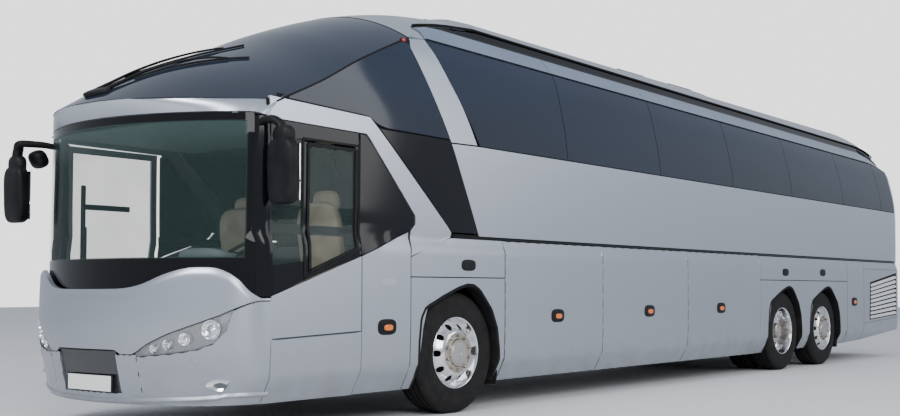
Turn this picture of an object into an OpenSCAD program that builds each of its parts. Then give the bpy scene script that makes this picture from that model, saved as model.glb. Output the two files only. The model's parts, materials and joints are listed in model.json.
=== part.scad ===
// Three-axle high-deck touring coach: hollow body with real doors, flaps and
// hatches, six wheel stations, steered front axle, cab and seats.
// Frame: +Z up, the front faces -Y, +X is the vehicle's left side.
// The origin is on the ground under the middle of the bounding box.
// Names ending in _y are places along the vehicle, _z are heights.

/* [Overall] */
// Length over the body
length = 13990; // [13400:10:14990]
// Width over the side panels
width = 2550; // [2450:10:2650]
// Height over the roof unit
height = 3680; // [3600:10:4000]
// Thickness of the body walls
wall = 60; // [45:5:70]
// Thickness of the glass
glass = 14; // [8:1:20]
// Thickness of flaps, doors and hatches
leaf = 40; // [25:1:45]
// Gap around every flap, door and hatch
gap = 8; // [6:1:15]

/* [Axles] */
// Front of the body to the front axle
front_overhang = 2750; // [2650:10:2900]
// Front axle to drive axle
wheelbase = 6720; // [6000:10:7200]
// Drive axle to tag axle
tag_spacing = 1350; // [1300:5:1450]
// Tyre radius under load
tyre_r = 505; // [480:1:515]
// Width of one tyre
tyre_w = 290; // [260:1:300]
// Outer tyre face from the side panel
tyre_inset = 38; // [30:1:60]
// Kingpin from the outer tyre face
kingpin_inset = 280; // [270:1:300]
// Radius of the wheel spindle
spindle_r = 50; // [40:1:60]
// Radius of the kingpin
kingpin_r = 20; // [15:1:25]
// Radius of the rear towing pin hole
tow_pin_r = 20; // [15:1:25]

/* [Heights] */
// Bottom edge of the skirt
skirt_z = 240; // [200:5:300]
// Belt moulding
belt_z = 1470; // [1400:5:1500]
// Bottom of the passenger windows
sill_z = 2265; // [2150:5:2300]
// Top of the passenger windows
knee_z = 3130; // [3000:5:3200]
// Top edge of the front mask
mask_z = 1110; // [1050:5:1150]
// Bottom of the visor band over the windscreen
visor_z = 2265; // [2200:5:2300]
// Top of the visor band
brow_z = 2430; // [2400:5:2500]
// Passenger floor
deck_z = 1400; // [1380:5:1440]
// Driver's floor
cab_floor_z = 640; // [600:5:680]
// Luggage floor
bay_floor_z = 340; // [330:5:380]

/* [Hidden] */

silver = "#b4b9c0";
dark_glass = "#20262e";
black = "#18191b";
grey = "#5a5e63";

half_w = width / 2;
nose_y = -length / 2;
tail_y = length / 2;
axle1_y = nose_y + front_overhang;
axle2_y = axle1_y + wheelbase;
axle3_y = axle2_y + tag_spacing;
far = length + width + height;

// Front of the body: one arc in plan, set back above the mask
nose_r = 1880;
screen_back = 85;

// Stations along the side
cab_y = axle1_y - 2100;
door_back_y = axle1_y - 1190;
arch_seam_y = axle1_y - 640;
bay_start_y = axle1_y + 625;
bay_end_y = axle2_y - 770;
fender_end_y = axle3_y + 860;
side_door_y = axle3_y + 1540;
corner_y = tail_y - 90;
screen_end_y = axle1_y - 450;
wc_y = bay_end_y - 900;

// Share of the luggage bay's length at each flap seam
bay_share = [0, 0.31, 0.645, 1];
function bay_y(i) = bay_start_y + bay_share[i] * (bay_end_y - bay_start_y);

// Height levels of the roof
roof_z = height - 80;
cove_z = knee_z + (roof_z - knee_z) * 0.38;
rail_z = knee_z + (roof_z - knee_z) * 0.60;
cove_x = half_w - 350;

// Wheel arch opening ahead of and behind the axle
arch_front = 535;
arch_back = 575;

tyre_out_x = half_w - tyre_inset;
kingpin_x = tyre_out_x - kingpin_inset;
rim_r = 300;
seat_r = 286;

// ---------- body form ----------

// Right half of the cross-section, moved in by t: [x, z]
function half_section(t) = [
    [half_w - 85 - t, skirt_z - (t > 0 ? 500 : 0)],
    [half_w - 12 - t, skirt_z + 190],
    [half_w - t, skirt_z + 560],
    [half_w - t, belt_z - 105],
    [half_w - 32 - t, belt_z - 8],
    [half_w - 27 - t, belt_z + 30],
    [half_w - 23 - t, sill_z],
    [half_w - 55 - t, sill_z + (knee_z - sill_z) * 0.3],
    [half_w - 115 - t, sill_z + (knee_z - sill_z) * 0.65],
    [half_w - 203 - t, knee_z - t * 0.3],
    [cove_x - t, cove_z - t * 0.8],
    [cove_x - 30 - t, rail_z - t],
    [half_w * 0.63 - t, rail_z + (roof_z - rail_z) * 0.35 - t],
    [half_w * 0.35, roof_z - 50 - t],
    [0, roof_z - t]];

function flipped(points) = [for (i = [len(points) - 1:-1:0]) [-points[i][0], points[i][1]]];

module section_2d(t) {
    polygon(concat(half_section(t), flipped(half_section(t))));
}

module plan_2d(t, back) {
    corner_r = 150;
    intersection() {
        union() {
            translate([-half_w + t, nose_y + back + t])
                square([width - 2 * t, length - back - t - corner_r]);
            translate([-half_w + corner_r, 0])
                square([width - 2 * corner_r, tail_y - t]);
            for (side = [-1, 1])
                translate([side * (half_w - corner_r), tail_y - corner_r])
                    circle(r = corner_r - t, $fn = 64);
        }
        union() {
            translate([0, nose_y + back + nose_r])
                circle(r = nose_r - t, $fn = 180);
            translate([-half_w, nose_y + back + nose_r])
                square([width, length]);
        }
    }
}

// Side profile moved in by t: [y, z]
function profile(t) = [
    [nose_y, skirt_z - 600],
    [nose_y, brow_z],
    [nose_y + screen_back + t, brow_z],
    [axle1_y - 1500 + t * 0.8, brow_z + (roof_z - brow_z) * 0.47 - t],
    [axle1_y - 500 + t * 0.5, brow_z + (roof_z - brow_z) * 0.82 - t],
    [axle1_y + 300, roof_z - 45 - t],
    [axle1_y + 900, roof_z - t],
    [tail_y - 900, roof_z - t],
    [tail_y - 450 - t * 0.5, roof_z - 130 - t],
    [tail_y - 160 - t, roof_z - 380 - t * 0.5],
    [tail_y - t, roof_z - 750],
    [tail_y - t, (t > 0 ? skirt_z - 600 : skirt_z + 190)],
    [fender_end_y + 400, skirt_z - (t > 0 ? 600 : 0)],
    [nose_y, skirt_z - (t > 0 ? 600 : 0)]];

// Extrudes a [y, z] outline across the whole width
module across(x0, x1) {
    translate([x0, 0, 0])
        rotate([90, 0, 90])
            linear_extrude(x1 - x0) children();
}

// Extrudes an [x, z] outline along the length
module along(y0, y1) {
    translate([0, y1, 0])
        rotate([90, 0, 0])
            linear_extrude(y1 - y0) children();
}

module box(x0, x1, y0, y1, z0, z1) {
    translate([x0, y0, z0]) cube([x1 - x0, y1 - y0, z1 - z0]);
}

// Crowned upper screen: a leaning round bar, moved in by t, and all behind it
brow_r = 2220;
brow_lean = 22.2;
module crown(t) {
    translate([0, axle1_y - 2040, brow_z + 340])
        rotate([brow_lean, 0, 0])
            translate([0, -length / 2, -brow_r])
                rotate([-90, 0, 0]) cylinder(r = brow_r - t, h = length, $fn = 360);
    box(-far, far, axle1_y + 100, tail_y + 50, skirt_z - 600, height + 50);
}

// The body's whole form with every face moved in by t
module form(t) {
    intersection() {
        along(nose_y - 10, tail_y + 10) section_2d(t);
        across(-far, far) polygon(profile(t));
        crown(t);
        union() {
            translate([0, 0, skirt_z - 600])
                linear_extrude(mask_z - skirt_z + 600) plan_2d(t, 0);
            translate([0, 0, mask_z])
                linear_extrude(height) plan_2d(t, screen_back);
        }
    }
}

module shell(t) {
    difference() {
        form(0);
        form(t);
    }
}

// Thickness of the upper windscreen with its bonded frame
brow_glass = 20;

// Layer under the sloping upper windscreen
module brow_slab(t) {
    difference() {
        box(-far, far, nose_y - 50, screen_end_y, brow_z, height + 50);
        intersection() {
            across(-far, far) polygon(profile(t));
            crown(t);
        }
    }
}

// ---------- window outlines on the side, [y, z] ----------

// Distance of each pane joint from the front axle
pane_joints = [1664, 3440, 5216, 6992, 8768, 10450];
pillar = 60;

function pane_y(i) = axle1_y + pane_joints[i];

// One passenger pane; the first has the raked front edge
module pane_2d(i) {
    last = len(pane_joints);
    y1 = i == last ? corner_y - 60 : pane_y(i) - pillar / 2;
    y0 = i == 0 ? axle1_y + 260 : pane_y(i - 1) + pillar / 2;
    top_y0 = i == 0 ? axle1_y - 170 : y0;
    polygon([[y0, sill_z + 5], [y1, sill_z + 5], [y1, knee_z - 10], [top_y0, knee_z - 10]]);
}

module quarter_2d() {
    polygon([[axle1_y - 1900, visor_z + 185], [axle1_y - 1040, visor_z + 110],
        [axle1_y - 110, visor_z + 50], [axle1_y - 400, knee_z - 150],
        [axle1_y - 900, visor_z + 560], [axle1_y - 1400, visor_z + 390]]);
}

module wedge_2d() {
    polygon([[axle1_y - 960, visor_z + 40], [axle1_y - 100, visor_z + 20],
        [axle1_y + 270, belt_z + 45], [axle1_y - 60, belt_z + 45]]);
}

// Glass behind the driver's window or the front door
module cab_glass_2d(y0) {
    intersection() {
        polygon([[cab_y + 40, visor_z - 30], [axle1_y - 1110, visor_z - 40],
            [axle1_y - 560, belt_z + 190], [axle1_y - 640, belt_z + 30],
            [door_back_y, belt_z - 180], [cab_y + 40, belt_z - 480]]);
        translate([y0, 0]) square([length, height]);
    }
}

module window_outlines(front_y) {
    for (i = [0:len(pane_joints)]) pane_2d(i);
    quarter_2d();
    wedge_2d();
    cab_glass_2d(front_y);
}

// ---------- side wall ----------

// Wheel arch outline: straight front, raked top, as [y, z]
module arch_2d(axle_y, back) {
    polygon([[axle_y - arch_front, 0], [axle_y - arch_front, tyre_r + 340],
        [axle_y - 400, tyre_r + 470], [axle_y + 120, tyre_r + 590],
        [axle_y + 260, tyre_r + 560], [axle_y + back - 130, tyre_r + 340],
        [axle_y + back, tyre_r + 60], [axle_y + back, 0]]);
}

module side_wall(side, front_y) {
    color(silver)
        difference() {
            intersection() {
                shell(wall);
                side_box(side, cove_x, cab_y, corner_y, 0, height);
            }
            brow_slab(brow_glass);
            cut(side) window_outlines(front_y);
            cut(side) arch_2d(axle1_y, arch_back);
            cut(side) arch_2d(axle2_y, arch_back);
            cut(side) arch_2d(axle3_y, arch_back + 40);
            cut(side) engine_door_2d(0);
            children();
        }
}

// Box on one side of the vehicle, from x0 outward
module side_box(side, x0, y0, y1, z0, z1) {
    if (side > 0)
        box(x0, half_w + 100, y0, y1, z0, z1);
    else
        box(-half_w - 100, -x0, y0, y1, z0, z1);
}

// Cutter through one side wall with a [y, z] outline
module cut(side) {
    across(side > 0 ? cove_x - 200 : -half_w - 100, side > 0 ? half_w + 100 : 200 - cove_x)
        children();
}

module storage_2d(g) {
    polygon([[cab_y + 12 + g, skirt_z - 20 + g], [door_back_y - g, skirt_z - 20 + g],
        [door_back_y - g, 700 - g], [cab_y + 12 + g, 700 - g]]);
}

flap_top_z = belt_z - 14;

module luggage_2d(y0, y1, g) {
    translate([y0 + g, skirt_z - 20]) square([y1 - y0 - 2 * g, flap_top_z - skirt_z + 20 - g]);
}

module engine_door_2d(g) {
    polygon([[side_door_y + g, skirt_z + 300 + g], [corner_y - 60 - g, skirt_z + 360 + g],
        [corner_y - 60 - g, belt_z - 120 - g], [side_door_y + g, belt_z - 120 - g]]);
}

front_door_z = [290, 2240];
module front_door_2d(g) {
    translate([cab_y + 12 + g, front_door_z[0] + g])
        square([door_back_y - cab_y - 12 - 2 * g, front_door_z[1] - front_door_z[0] - 2 * g]);
}

middle_door_z = [290, 2150];
module middle_door_2d(g) {
    translate([wc_y + g, middle_door_z[0] + g])
        square([bay_end_y - 30 - wc_y - 2 * g, middle_door_z[1] - middle_door_z[0] - 2 * g]);
}

module left_wall() {
    side_wall(1, cab_y + 40) {
        cut(1) storage_2d(0);
        for (i = [0:2]) cut(1) luggage_2d(bay_y(i), bay_y(i + 1), 0);
    }
}

module right_wall() {
    side_wall(-1, door_back_y + 30) {
        cut(-1) front_door_2d(0);
        cut(-1) middle_door_2d(0);
        for (i = [0:1]) cut(-1) luggage_2d(bay_y(i), bay_y(i + 1), 0);
    }
}

module side_glass(side, front_y) {
    color(dark_glass)
        intersection() {
            difference() {
                shell(glass);
                brow_slab(brow_glass);
            }
            cut(side) window_outlines(front_y);
        }
}

module left_windows() { side_glass(1, cab_y + 40); }
module right_windows() { side_glass(-1, door_back_y + 30); }

// ---------- roof and rear ----------

hatch_w = 600;
hatch_l = 900;
hatch_front_y = axle1_y + 2300;
hatch_rear_y = axle2_y + 2000;
unit_y0 = axle1_y + 3900;
unit_l = 2600;

module hatch_hole(y0, g) {
    box(-hatch_w / 2 + g, hatch_w / 2 - g, y0 + g, y0 + hatch_l - g, rail_z - 300, height + 100);
}

module roof_shell() {
    color(silver)
        difference() {
            intersection() {
                shell(wall);
                box(-cove_x, cove_x, screen_end_y, corner_y, knee_z - 200, height);
            }
            hatch_hole(hatch_front_y, 0);
            hatch_hole(hatch_rear_y, 0);
            rear_glass_hole();
        }
}

module hatch(y0) {
    color(silver)
        intersection() {
            difference() {
                form(0);
                form(leaf);
            }
            hatch_hole(y0, gap);
        }
}

module roof_hatch_front() { hatch(hatch_front_y); }
module roof_hatch_rear() { hatch(hatch_rear_y); }

// Low air unit along the crown of the roof
module roof_unit() {
    color(silver)
        difference() {
            along(unit_y0, unit_y0 + unit_l)
                polygon([[-420, roof_z - 70], [420, roof_z - 70], [400, roof_z - 20],
                    [120, height], [-120, height], [-400, roof_z - 20]]);
            form(0);
        }
}

rear_glass = [850, sill_z + 100, knee_z + 60];
engine_hatch_size = [1900, skirt_z + 330, belt_z - 60];

module engine_hatch_hole(g) {
    box(-engine_hatch_size[0] / 2 + g, engine_hatch_size[0] / 2 - g, tail_y - 400, tail_y + 50,
        engine_hatch_size[1] + g, engine_hatch_size[2] - g);
}

module rear_glass_hole() {
    box(-rear_glass[0], rear_glass[0], tail_y - 600, tail_y + 50, rear_glass[1], rear_glass[2]);
}

tail_lamp = [980, 1130, 760, 1330];

module tail_lamp_box(side) {
    x0 = side > 0 ? tail_lamp[0] : -tail_lamp[1];
    box(x0, x0 + tail_lamp[1] - tail_lamp[0], tail_y - 400, tail_y + 50, tail_lamp[2], tail_lamp[3]);
}

module rear_wall() {
    color(silver)
        difference() {
            intersection() {
                shell(wall);
                box(-half_w, half_w, corner_y, tail_y + 10, 0, height);
            }
            engine_hatch_hole(0);
            rear_glass_hole();
            for (side = [-1, 1]) tail_lamp_box(side);
        }
}

module rear_window() {
    color(dark_glass)
        intersection() {
            shell(glass);
            rear_glass_hole();
        }
}

module engine_hatch() {
    color(silver)
        intersection() {
            shell(leaf);
            engine_hatch_hole(gap);
        }
}

// ---------- front ----------

seam_z = 590;

// Headlamp outline seen from the front: [x, z]
module headlamp_2d() {
    polygon([[520, 575], [640, 660], [800, 730], [960, 790], [1180, 885], [1190, 850],
        [1130, 700], [1000, 630], [800, 590]]);
}

module both_headlamps() {
    for (side = [-1, 1])
        mirror([side > 0 ? 0 : 1, 0, 0])
            along(nose_y - 50, cab_y) headlamp_2d();
}

// The mask with the wiper shelf on which the windscreen stands
shelf = 30;

module front_mask() {
    color(silver)
        difference() {
            union() {
                intersection() {
                    shell(wall);
                    box(-half_w, half_w, nose_y - 10, cab_y, seam_z, mask_z);
                }
                intersection() {
                    shell(screen_back + glass + 6);
                    box(-half_w, half_w, nose_y - 10, cab_y, mask_z - shelf, mask_z);
                }
            }
            both_headlamps();
        }
}

plate_pocket = [270, 300, 430];

module front_bumper() {
    color(silver)
        difference() {
            intersection() {
                shell(wall);
                box(-half_w, half_w, nose_y - 10, cab_y, 0, seam_z);
            }
            both_headlamps();
            box(-plate_pocket[0], plate_pocket[0], nose_y - 50, nose_y + 40,
                plate_pocket[1], plate_pocket[2]);
        }
}

screen_x = 1190;
// Hairline between the mask and what stands on it
seat_fit = 0.1;

module windscreen() {
    color("#8fa3a5")
        intersection() {
            shell(glass);
            box(-screen_x, screen_x, nose_y - 10, cab_y, mask_z + seat_fit, visor_z);
        }
}

module visor_band() {
    color(silver)
        difference() {
            intersection() {
                shell(wall);
                box(-half_w, half_w, nose_y - 10, cab_y, mask_z + seat_fit, brow_z);
            }
            box(-screen_x, screen_x, nose_y - 10, cab_y + 10, mask_z - 10, visor_z);
        }
}

module upper_windscreen() {
    color(dark_glass) {
        intersection() {
            form(0);
            brow_slab(brow_glass);
        }
        intersection() {
            shell(brow_glass);
            box(-half_w, half_w, nose_y, cab_y, brow_z, height);
        }
    }
}

module lamps() {
    color("#d8dcdf") {
        intersection() {
            shell(wall);
            both_headlamps();
        }
        intersection() {
            shell(wall);
            for (side = [-1, 1]) tail_lamp_box(side);
        }
    }
}

mirror_x = 1420;

// One mirror: arm from the front corner, elbow and tall housing
module mirror_unit(y, z) {
    reach = 135;
    translate([mirror_x, y, z]) scale([1, 0.42, 1]) cylinder(r = reach, h = 430, $fn = 48);
    translate([mirror_x - 40, y, z + 425]) cylinder(r = 38, h = 165, $fn = 32);
    translate([0, 0, z + 550])
        linear_extrude(40)
            polygon([[mirror_x, y - 25], [mirror_x, y + 25], [half_w - 40, cab_y - 20],
                [half_w - 90, cab_y - 60], [half_w - 60, cab_y - 140]]);
}

// The left one hangs by the driver's window, the right one ahead of the door
module mirrors() {
    color(black)
        difference() {
            union() {
                mirror_unit(axle1_y - 2120, 1625);
                mirror([1, 0, 0]) mirror_unit(axle1_y - 2430, 1590);
            }
            form(0);
        }
}

// Two big wipers parked across the upper screen
module wipers() {
    color(black)
        difference() {
            union() {
                for (x = [-160, 120])
                    across(x, x + 45)
                        polygon([[nose_y + 140, brow_z - 20], [axle1_y - 1500, brow_z + 480],
                            [axle1_y - 1500, brow_z + 600], [nose_y + 140, brow_z + 80]]);
            }
            form(0);
        }
}

// ---------- cab and seats ----------

module dashboard() {
    color("#4c5558") {
        intersection() {
            form(screen_back + glass + 11);
            union() {
                along(nose_y, axle1_y - 2050)
                    polygon([[-1100, cab_floor_z], [1150, cab_floor_z], [1150, 1240], [700, 1330],
                        [350, 1240], [-300, 1130], [-1100, 1130]]);
            }
        }
        translate([700, axle1_y - 1850, 1290]) rotate([-35, 0, 0]) {
            rotate_extrude($fn = 64) translate([215, 0]) circle(r = 14, $fn = 24);
            box(-215, 215, -18, 18, -12, 12);
            translate([0, 0, -330]) cylinder(r = 35, h = 335, $fn = 32);
        }
    }
}

// A seat facing the front: foot, cushion, back and headrest in one piece
module seat(x, y, z, w, foot_h) {
    translate([x, y, z]) {
        box(-w * 0.35, w * 0.35, -180, 180, 0, foot_h);
        box(-w / 2, w / 2, -250, 230, foot_h, foot_h + 130);
        across(-w / 2, w / 2)
            polygon([[130, foot_h + 120], [240, foot_h + 120], [400, foot_h + 690],
                [300, foot_h + 690]]);
        across(-w * 0.3, w * 0.3)
            polygon([[300, foot_h + 680], [400, foot_h + 680], [440, foot_h + 860],
                [350, foot_h + 860]]);
    }
}

module driver_seats() {
    color("#cdbf9c") {
        seat(700, axle1_y - 1350, cab_floor_z, 520, 320);
        seat(-240, axle1_y - 1160, cab_floor_z, 460, 320);
    }
}

seat_rows = 13;
row_pitch = 820;

// True where a seat at this place would stand over the middle stairwell
function over_stairs(y) = y + 450 > wc_y && y - 260 < bay_end_y - 30;

module passenger_seats() {
    color("#4d5566")
        for (row = [0:seat_rows - 1], side = [-1, 1])
            if (side > 0 || !over_stairs(axle1_y + 200 + row * row_pitch))
                for (place = [380, 860])
                    seat(side * place, axle1_y + 200 + row * row_pitch, deck_z, 480, 300);
}

// ---------- floors and chassis ----------

riser_y = axle1_y - 715;

// Chassis rails, and the stairwells' inner side clear of them
rail_in_x = 400;
rail_out_x = 500;
step_x = rail_out_x + 10;

module floors() {
    color(grey)
        intersection() {
            form(wall);
            union() {
                difference() {
                    union() {
                        box(-half_w, half_w, riser_y, corner_y + 30, deck_z - 50, deck_z);
                        box(-half_w, half_w, riser_y, riser_y + 60, cab_floor_z - 40, deck_z);
                        box(-half_w, half_w, nose_y + 200, riser_y, cab_floor_z - 40, cab_floor_z);
                    }
                    box(-half_w, -step_x, cab_y, door_back_y + 60, 0, cab_floor_z + 1);
                    box(-half_w, -step_x, wc_y, bay_end_y - 30, bay_floor_z, deck_z + 1);
                }
                box(-half_w, half_w, bay_start_y, bay_end_y, bay_floor_z - 40, bay_floor_z);
                front_steps();
                middle_steps();
            }
        }
}

// Two treads at the front door, rising inward
module front_steps() {
    box(-half_w, -810, cab_y, door_back_y + 60, 290, 330);
    box(-820, -810, cab_y, door_back_y + 60, 290, 490);
    box(-820, -step_x, cab_y, door_back_y + 60, 450, 490);
    box(-step_x - 10, -step_x, cab_y, door_back_y + 60, 450, cab_floor_z);
}

// Stair block inside the middle door, rising inward
module middle_steps() {
    treads = 4;
    rise = (deck_z - bay_floor_z) / (treads + 1);
    for (i = [0:treads - 1])
        box(-1040 + i * 140, -step_x, wc_y, bay_end_y - 30, bay_floor_z + i * rise,
            bay_floor_z + (i + 1) * rise);
    box(-step_x - 20, -step_x, wc_y, bay_end_y - 30, bay_floor_z, deck_z - 50);
}

module chassis_frame() {
    color(black) {
        intersection() {
            form(wall);
            union() {
                box(-half_w, half_w, bay_start_y - 45, bay_start_y, bay_floor_z - 40, deck_z - 50);
                box(-half_w, half_w, bay_end_y, bay_end_y + 45, bay_floor_z - 40, deck_z - 50);
            }
        }
        for (side = [-1, 1]) {
            x0 = side > 0 ? rail_in_x : -rail_out_x;
            box(x0, x0 + 100, nose_y + 420, bay_start_y - 45, cab_floor_z - 160, cab_floor_z - 40);
            box(x0, x0 + 100, bay_end_y + 45, tail_y - 150, 640, 760);
        }
        for (y = [nose_y + 420, axle1_y - 900, axle1_y + 400])
            box(-rail_in_x, rail_in_x, y, y + 90, cab_floor_z - 150, cab_floor_z - 50);
        for (y = [axle2_y - 600, axle2_y + 640, axle3_y + 700, tail_y - 260])
            box(-rail_in_x, rail_in_x, y, y + 90, 650, 750);
        // outriggers to the side walls behind the rear wheels
        for (y = [axle3_y + 760, tail_y - 320], side = [-1, 1])
            intersection() {
                form(wall);
                side_box(side, rail_out_x, y, y + 60, 660, 740);
            }
        // rear towing jaw with an upright pin hole
        difference() {
            box(-90, 90, tail_y - 171, tail_y - 65, 655, 695);
            translate([0, tail_y - 112, 600]) cylinder(r = tow_pin_r, h = 200, $fn = 48);
        }
    }
}

// Liners over the wheels: inner side, ends and top
module liner(side, x0, y0, y1, top, axles) {
    sheet = 10;
    slot = 75;
    intersection() {
        form(wall);
        difference() {
            side_box(side, x0, y0, y1, 300, top);
            side_box(side, x0 + sheet, y0 + sheet, y1 - sheet, 0, top - sheet);
            for (y = axles)
                box(-half_w, half_w, y - slot, y + slot, 0, tyre_r + slot);
        }
    }
}

module wheel_housings() {
    color(black)
        for (side = [-1, 1]) {
            liner(side, 560, axle1_y - 650, bay_start_y - 46, 1190, [axle1_y]);
            liner(side, 540, axle2_y - 640, axle3_y + 700, 1190, [axle2_y, axle3_y]);
        }
}

module engine() {
    color(grey) {
        box(-450, 450, tail_y - 2050, tail_y - 450, 760, 1330);
        box(-380, 380, tail_y - 1950, tail_y - 600, 430, 770);
    }
}

// ---------- axles, knuckles and wheels ----------

eye_r = 50;
eye_h = 100;
pin_fit = 0.06;

module front_axle() {
    color(black)
        translate([0, axle1_y, 0])
            difference() {
                union() {
                    box(-620, 620, -45, 45, cab_floor_z - 280, cab_floor_z - 190);
                    for (side = [-1, 1]) {
                        mirror([side > 0 ? 0 : 1, 0, 0]) {
                            box(560, kingpin_x - eye_r - 8, -45, 45, cab_floor_z - 280, tyre_r + 45);
                            box(600, kingpin_x - 30, -45, 45, tyre_r - 45, tyre_r + 45);
                        }
                        translate([side * kingpin_x, 0, tyre_r])
                            cylinder(r = eye_r, h = eye_h, center = true, $fn = 48);
                        box(side * 450 - 45, side * 450 + 45, -60, 60, cab_floor_z - 190,
                            cab_floor_z - 160);
                    }
                }
                for (side = [-1, 1])
                    translate([side * kingpin_x, 0, tyre_r])
                        cylinder(r = kingpin_r + pin_fit, h = eye_h + 10, center = true, $fn = 48);
            }
}

// Half of an axle's outline about its own line: [radius, x]
function axle_half(end_x, swell) = [
    [0, 0], [swell, 0], [swell, 60], [70, 230], [70, half_w - 760],
    [spindle_r, half_w - 750], [spindle_r, end_x], [0, end_x]];

module rear_axles() {
    color(black)
        for (y = [axle2_y, axle3_y]) {
            drive = y == axle2_y;
            end_x = drive ? tyre_out_x - twin_pitch + 78 : tyre_out_x + 3;
            translate([0, y, tyre_r]) {
                rotate([0, 90, 0])
                    rotate_extrude($fn = 64) {
                        polygon(axle_half(end_x, drive ? 190 : 85));
                        mirror([0, 1]) polygon(axle_half(end_x, drive ? 190 : 85));
                    }
                for (side = [-1, 1])
                    box(side * 450 - 40, side * 450 + 40, -40, 40, 30, 640 - tyre_r);
            }
        }
}

// Steering knuckle: lugs over and under the beam's eye, kingpin, web and spindle
module knuckle(side) {
    lug_h = 30;
    lug_gap = 0.5;
    web_x = eye_r + 8;
    spindle_end = kingpin_inset + 3;
    color("#6d7278")
        translate([side * kingpin_x, axle1_y, tyre_r])
            mirror([side > 0 ? 0 : 1, 0, 0]) {
                for (up = [0, 1])
                    mirror([0, 0, up])
                        translate([0, 0, eye_h / 2 + lug_gap]) {
                            cylinder(r = eye_r, h = lug_h, $fn = 48);
                            box(0, web_x + 20, -eye_r, eye_r, 0, lug_h);
                        }
                cylinder(r = kingpin_r, h = eye_h + 2 * lug_h, center = true, $fn = 48);
                box(web_x, web_x + 30, -eye_r, eye_r, -eye_h / 2 - lug_h, eye_h / 2 + lug_h);
                translate([web_x + 20, 0, 0])
                    rotate([0, 90, 0])
                        cylinder(r = spindle_r, h = spindle_end - web_x - 20, $fn = 48);
            }
}

module left_knuckle() { knuckle(1); }
module right_knuckle() { knuckle(-1); }

// Everything about a wheel turns about X; out_x is the outer tyre face
module spun(side, y) {
    translate([0, y, tyre_r])
        mirror([side > 0 ? 0 : 1, 0, 0])
            rotate([0, 90, 0])
                rotate_extrude($fn = 96) children();
}

module tyre_2d(out_x) {
    polygon([[seat_r, out_x - tyre_w + 35], [seat_r, out_x - 35], [rim_r + 20, out_x - 15],
        [rim_r + 90, out_x], [tyre_r - 60, out_x - 8], [tyre_r - 18, out_x - 26],
        [tyre_r, out_x - 50], [tyre_r, out_x - tyre_w + 50],
        [tyre_r - 18, out_x - tyre_w + 26], [tyre_r - 60, out_x - tyre_w + 8],
        [rim_r + 90, out_x - tyre_w], [rim_r + 20, out_x - tyre_w + 15]]);
}

// Rim with its dish near the outer face and a hub cover that stands out
module rim_2d(out_x) {
    bore = spindle_r + 0.06;
    polygon([[seat_r, out_x - tyre_w + 35], [seat_r, out_x - 35], [rim_r, out_x - 18],
        [rim_r - 22, out_x - 22], [rim_r - 40, out_x - 55], [180, out_x - 20],
        [175, out_x + 10], [110, out_x + 30], [0, out_x + 30], [0, out_x + 5],
        [bore, out_x + 5], [bore, out_x - 70], [150, out_x - 70], [rim_r - 55, out_x - 85],
        [rim_r - 30, out_x - tyre_w + 35]]);
}

// Deep-dish rim pair of the twin wheels, one dish between the two tyres
module twin_rim_2d(out_x, pitch) {
    bore = spindle_r + 0.06;
    inner = out_x - pitch;
    polygon([[seat_r, inner - tyre_w + 35], [seat_r, inner - 35], [rim_r - 6, inner - 20],
        [rim_r - 6, out_x - tyre_w + 20], [seat_r, out_x - tyre_w + 35], [seat_r, out_x - 35],
        [rim_r, out_x - 18], [rim_r - 22, out_x - 22], [rim_r - 34, out_x - 60],
        [rim_r - 40, inner + 40], [150, inner + 40], [110, inner + 110], [0, inner + 110],
        [0, inner + 80], [bore, inner + 80], [bore, inner - 20], [rim_r - 40, inner - 20],
        [rim_r - 40, inner - tyre_w + 35]]);
}

twin_pitch = 330;

module single_tyre(side, y) { color(black) spun(side, y) tyre_2d(tyre_out_x); }
module single_rim(side, y) { color("#c9ccd0") spun(side, y) rim_2d(tyre_out_x); }

module twin_tyres(side) {
    color(black) {
        spun(side, axle2_y) tyre_2d(tyre_out_x);
        spun(side, axle2_y) tyre_2d(tyre_out_x - twin_pitch);
    }
}

module twin_rims(side) { color("#c9ccd0") spun(side, axle2_y) twin_rim_2d(tyre_out_x, twin_pitch); }

// ---------- doors and flaps ----------

// One leaf cut from the body's own form with a [y, z] outline
module side_leaf(side) {
    color(silver)
        intersection() {
            difference() {
                form(0);
                form(leaf);
            }
            cut(side) children();
        }
}

arm_x = half_w - 105;
arm_l = 430;
front_pivot_y = cab_y + 130;
middle_pivot_y = bay_end_y - 160;

// Parallel arm that carries a door leaf; dir is +1 where it points rearward
module door_arm(pivot_y, dir, z0, z1) {
    color(black)
        translate([-arm_x, pivot_y, 0]) {
            translate([0, 0, z0]) cylinder(r = 20, h = z1 - z0, $fn = 32);
            for (z = [z0 + 150, z1 - 200]) {
                box(-14, 14, min(0, dir * arm_l), max(0, dir * arm_l), z, z + 45);
                translate([0, dir * arm_l, z]) cylinder(r = 20, h = 45, $fn = 32);
            }
        }
}

// Hinge eyes on the leaf's inner face, over and under each arm's end
module arm_eyes(pivot_y, dir, z0, z1) {
    y = pivot_y + dir * arm_l;
    for (z = [z0 + 150, z1 - 200], up = [-12.4, 45.4])
        box(-half_w, -arm_x + 18, y - 18, y + 18, z + up, z + up + 12);
}

module front_door() {
    side_leaf(-1) front_door_2d(gap);
    color(silver)
        intersection() {
            form(leaf);
            arm_eyes(front_pivot_y, 1, 700, 1900);
        }
}

module front_door_arm() { door_arm(front_pivot_y, 1, 700, 1900); }

module middle_door() {
    side_leaf(-1) middle_door_2d(gap);
    color(silver)
        intersection() {
            form(leaf);
            arm_eyes(middle_pivot_y, -1, 800, 1900);
        }
}

module middle_door_arm() { door_arm(middle_pivot_y, -1, 800, 1900); }

module left_storage_flap() { side_leaf(1) storage_2d(gap); }
module luggage_flap(side, i) { side_leaf(side) luggage_2d(bay_y(i), bay_y(i + 1), gap); }
module engine_door(side) { side_leaf(side) engine_door_2d(gap); }

// ---------- the whole vehicle ----------

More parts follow.
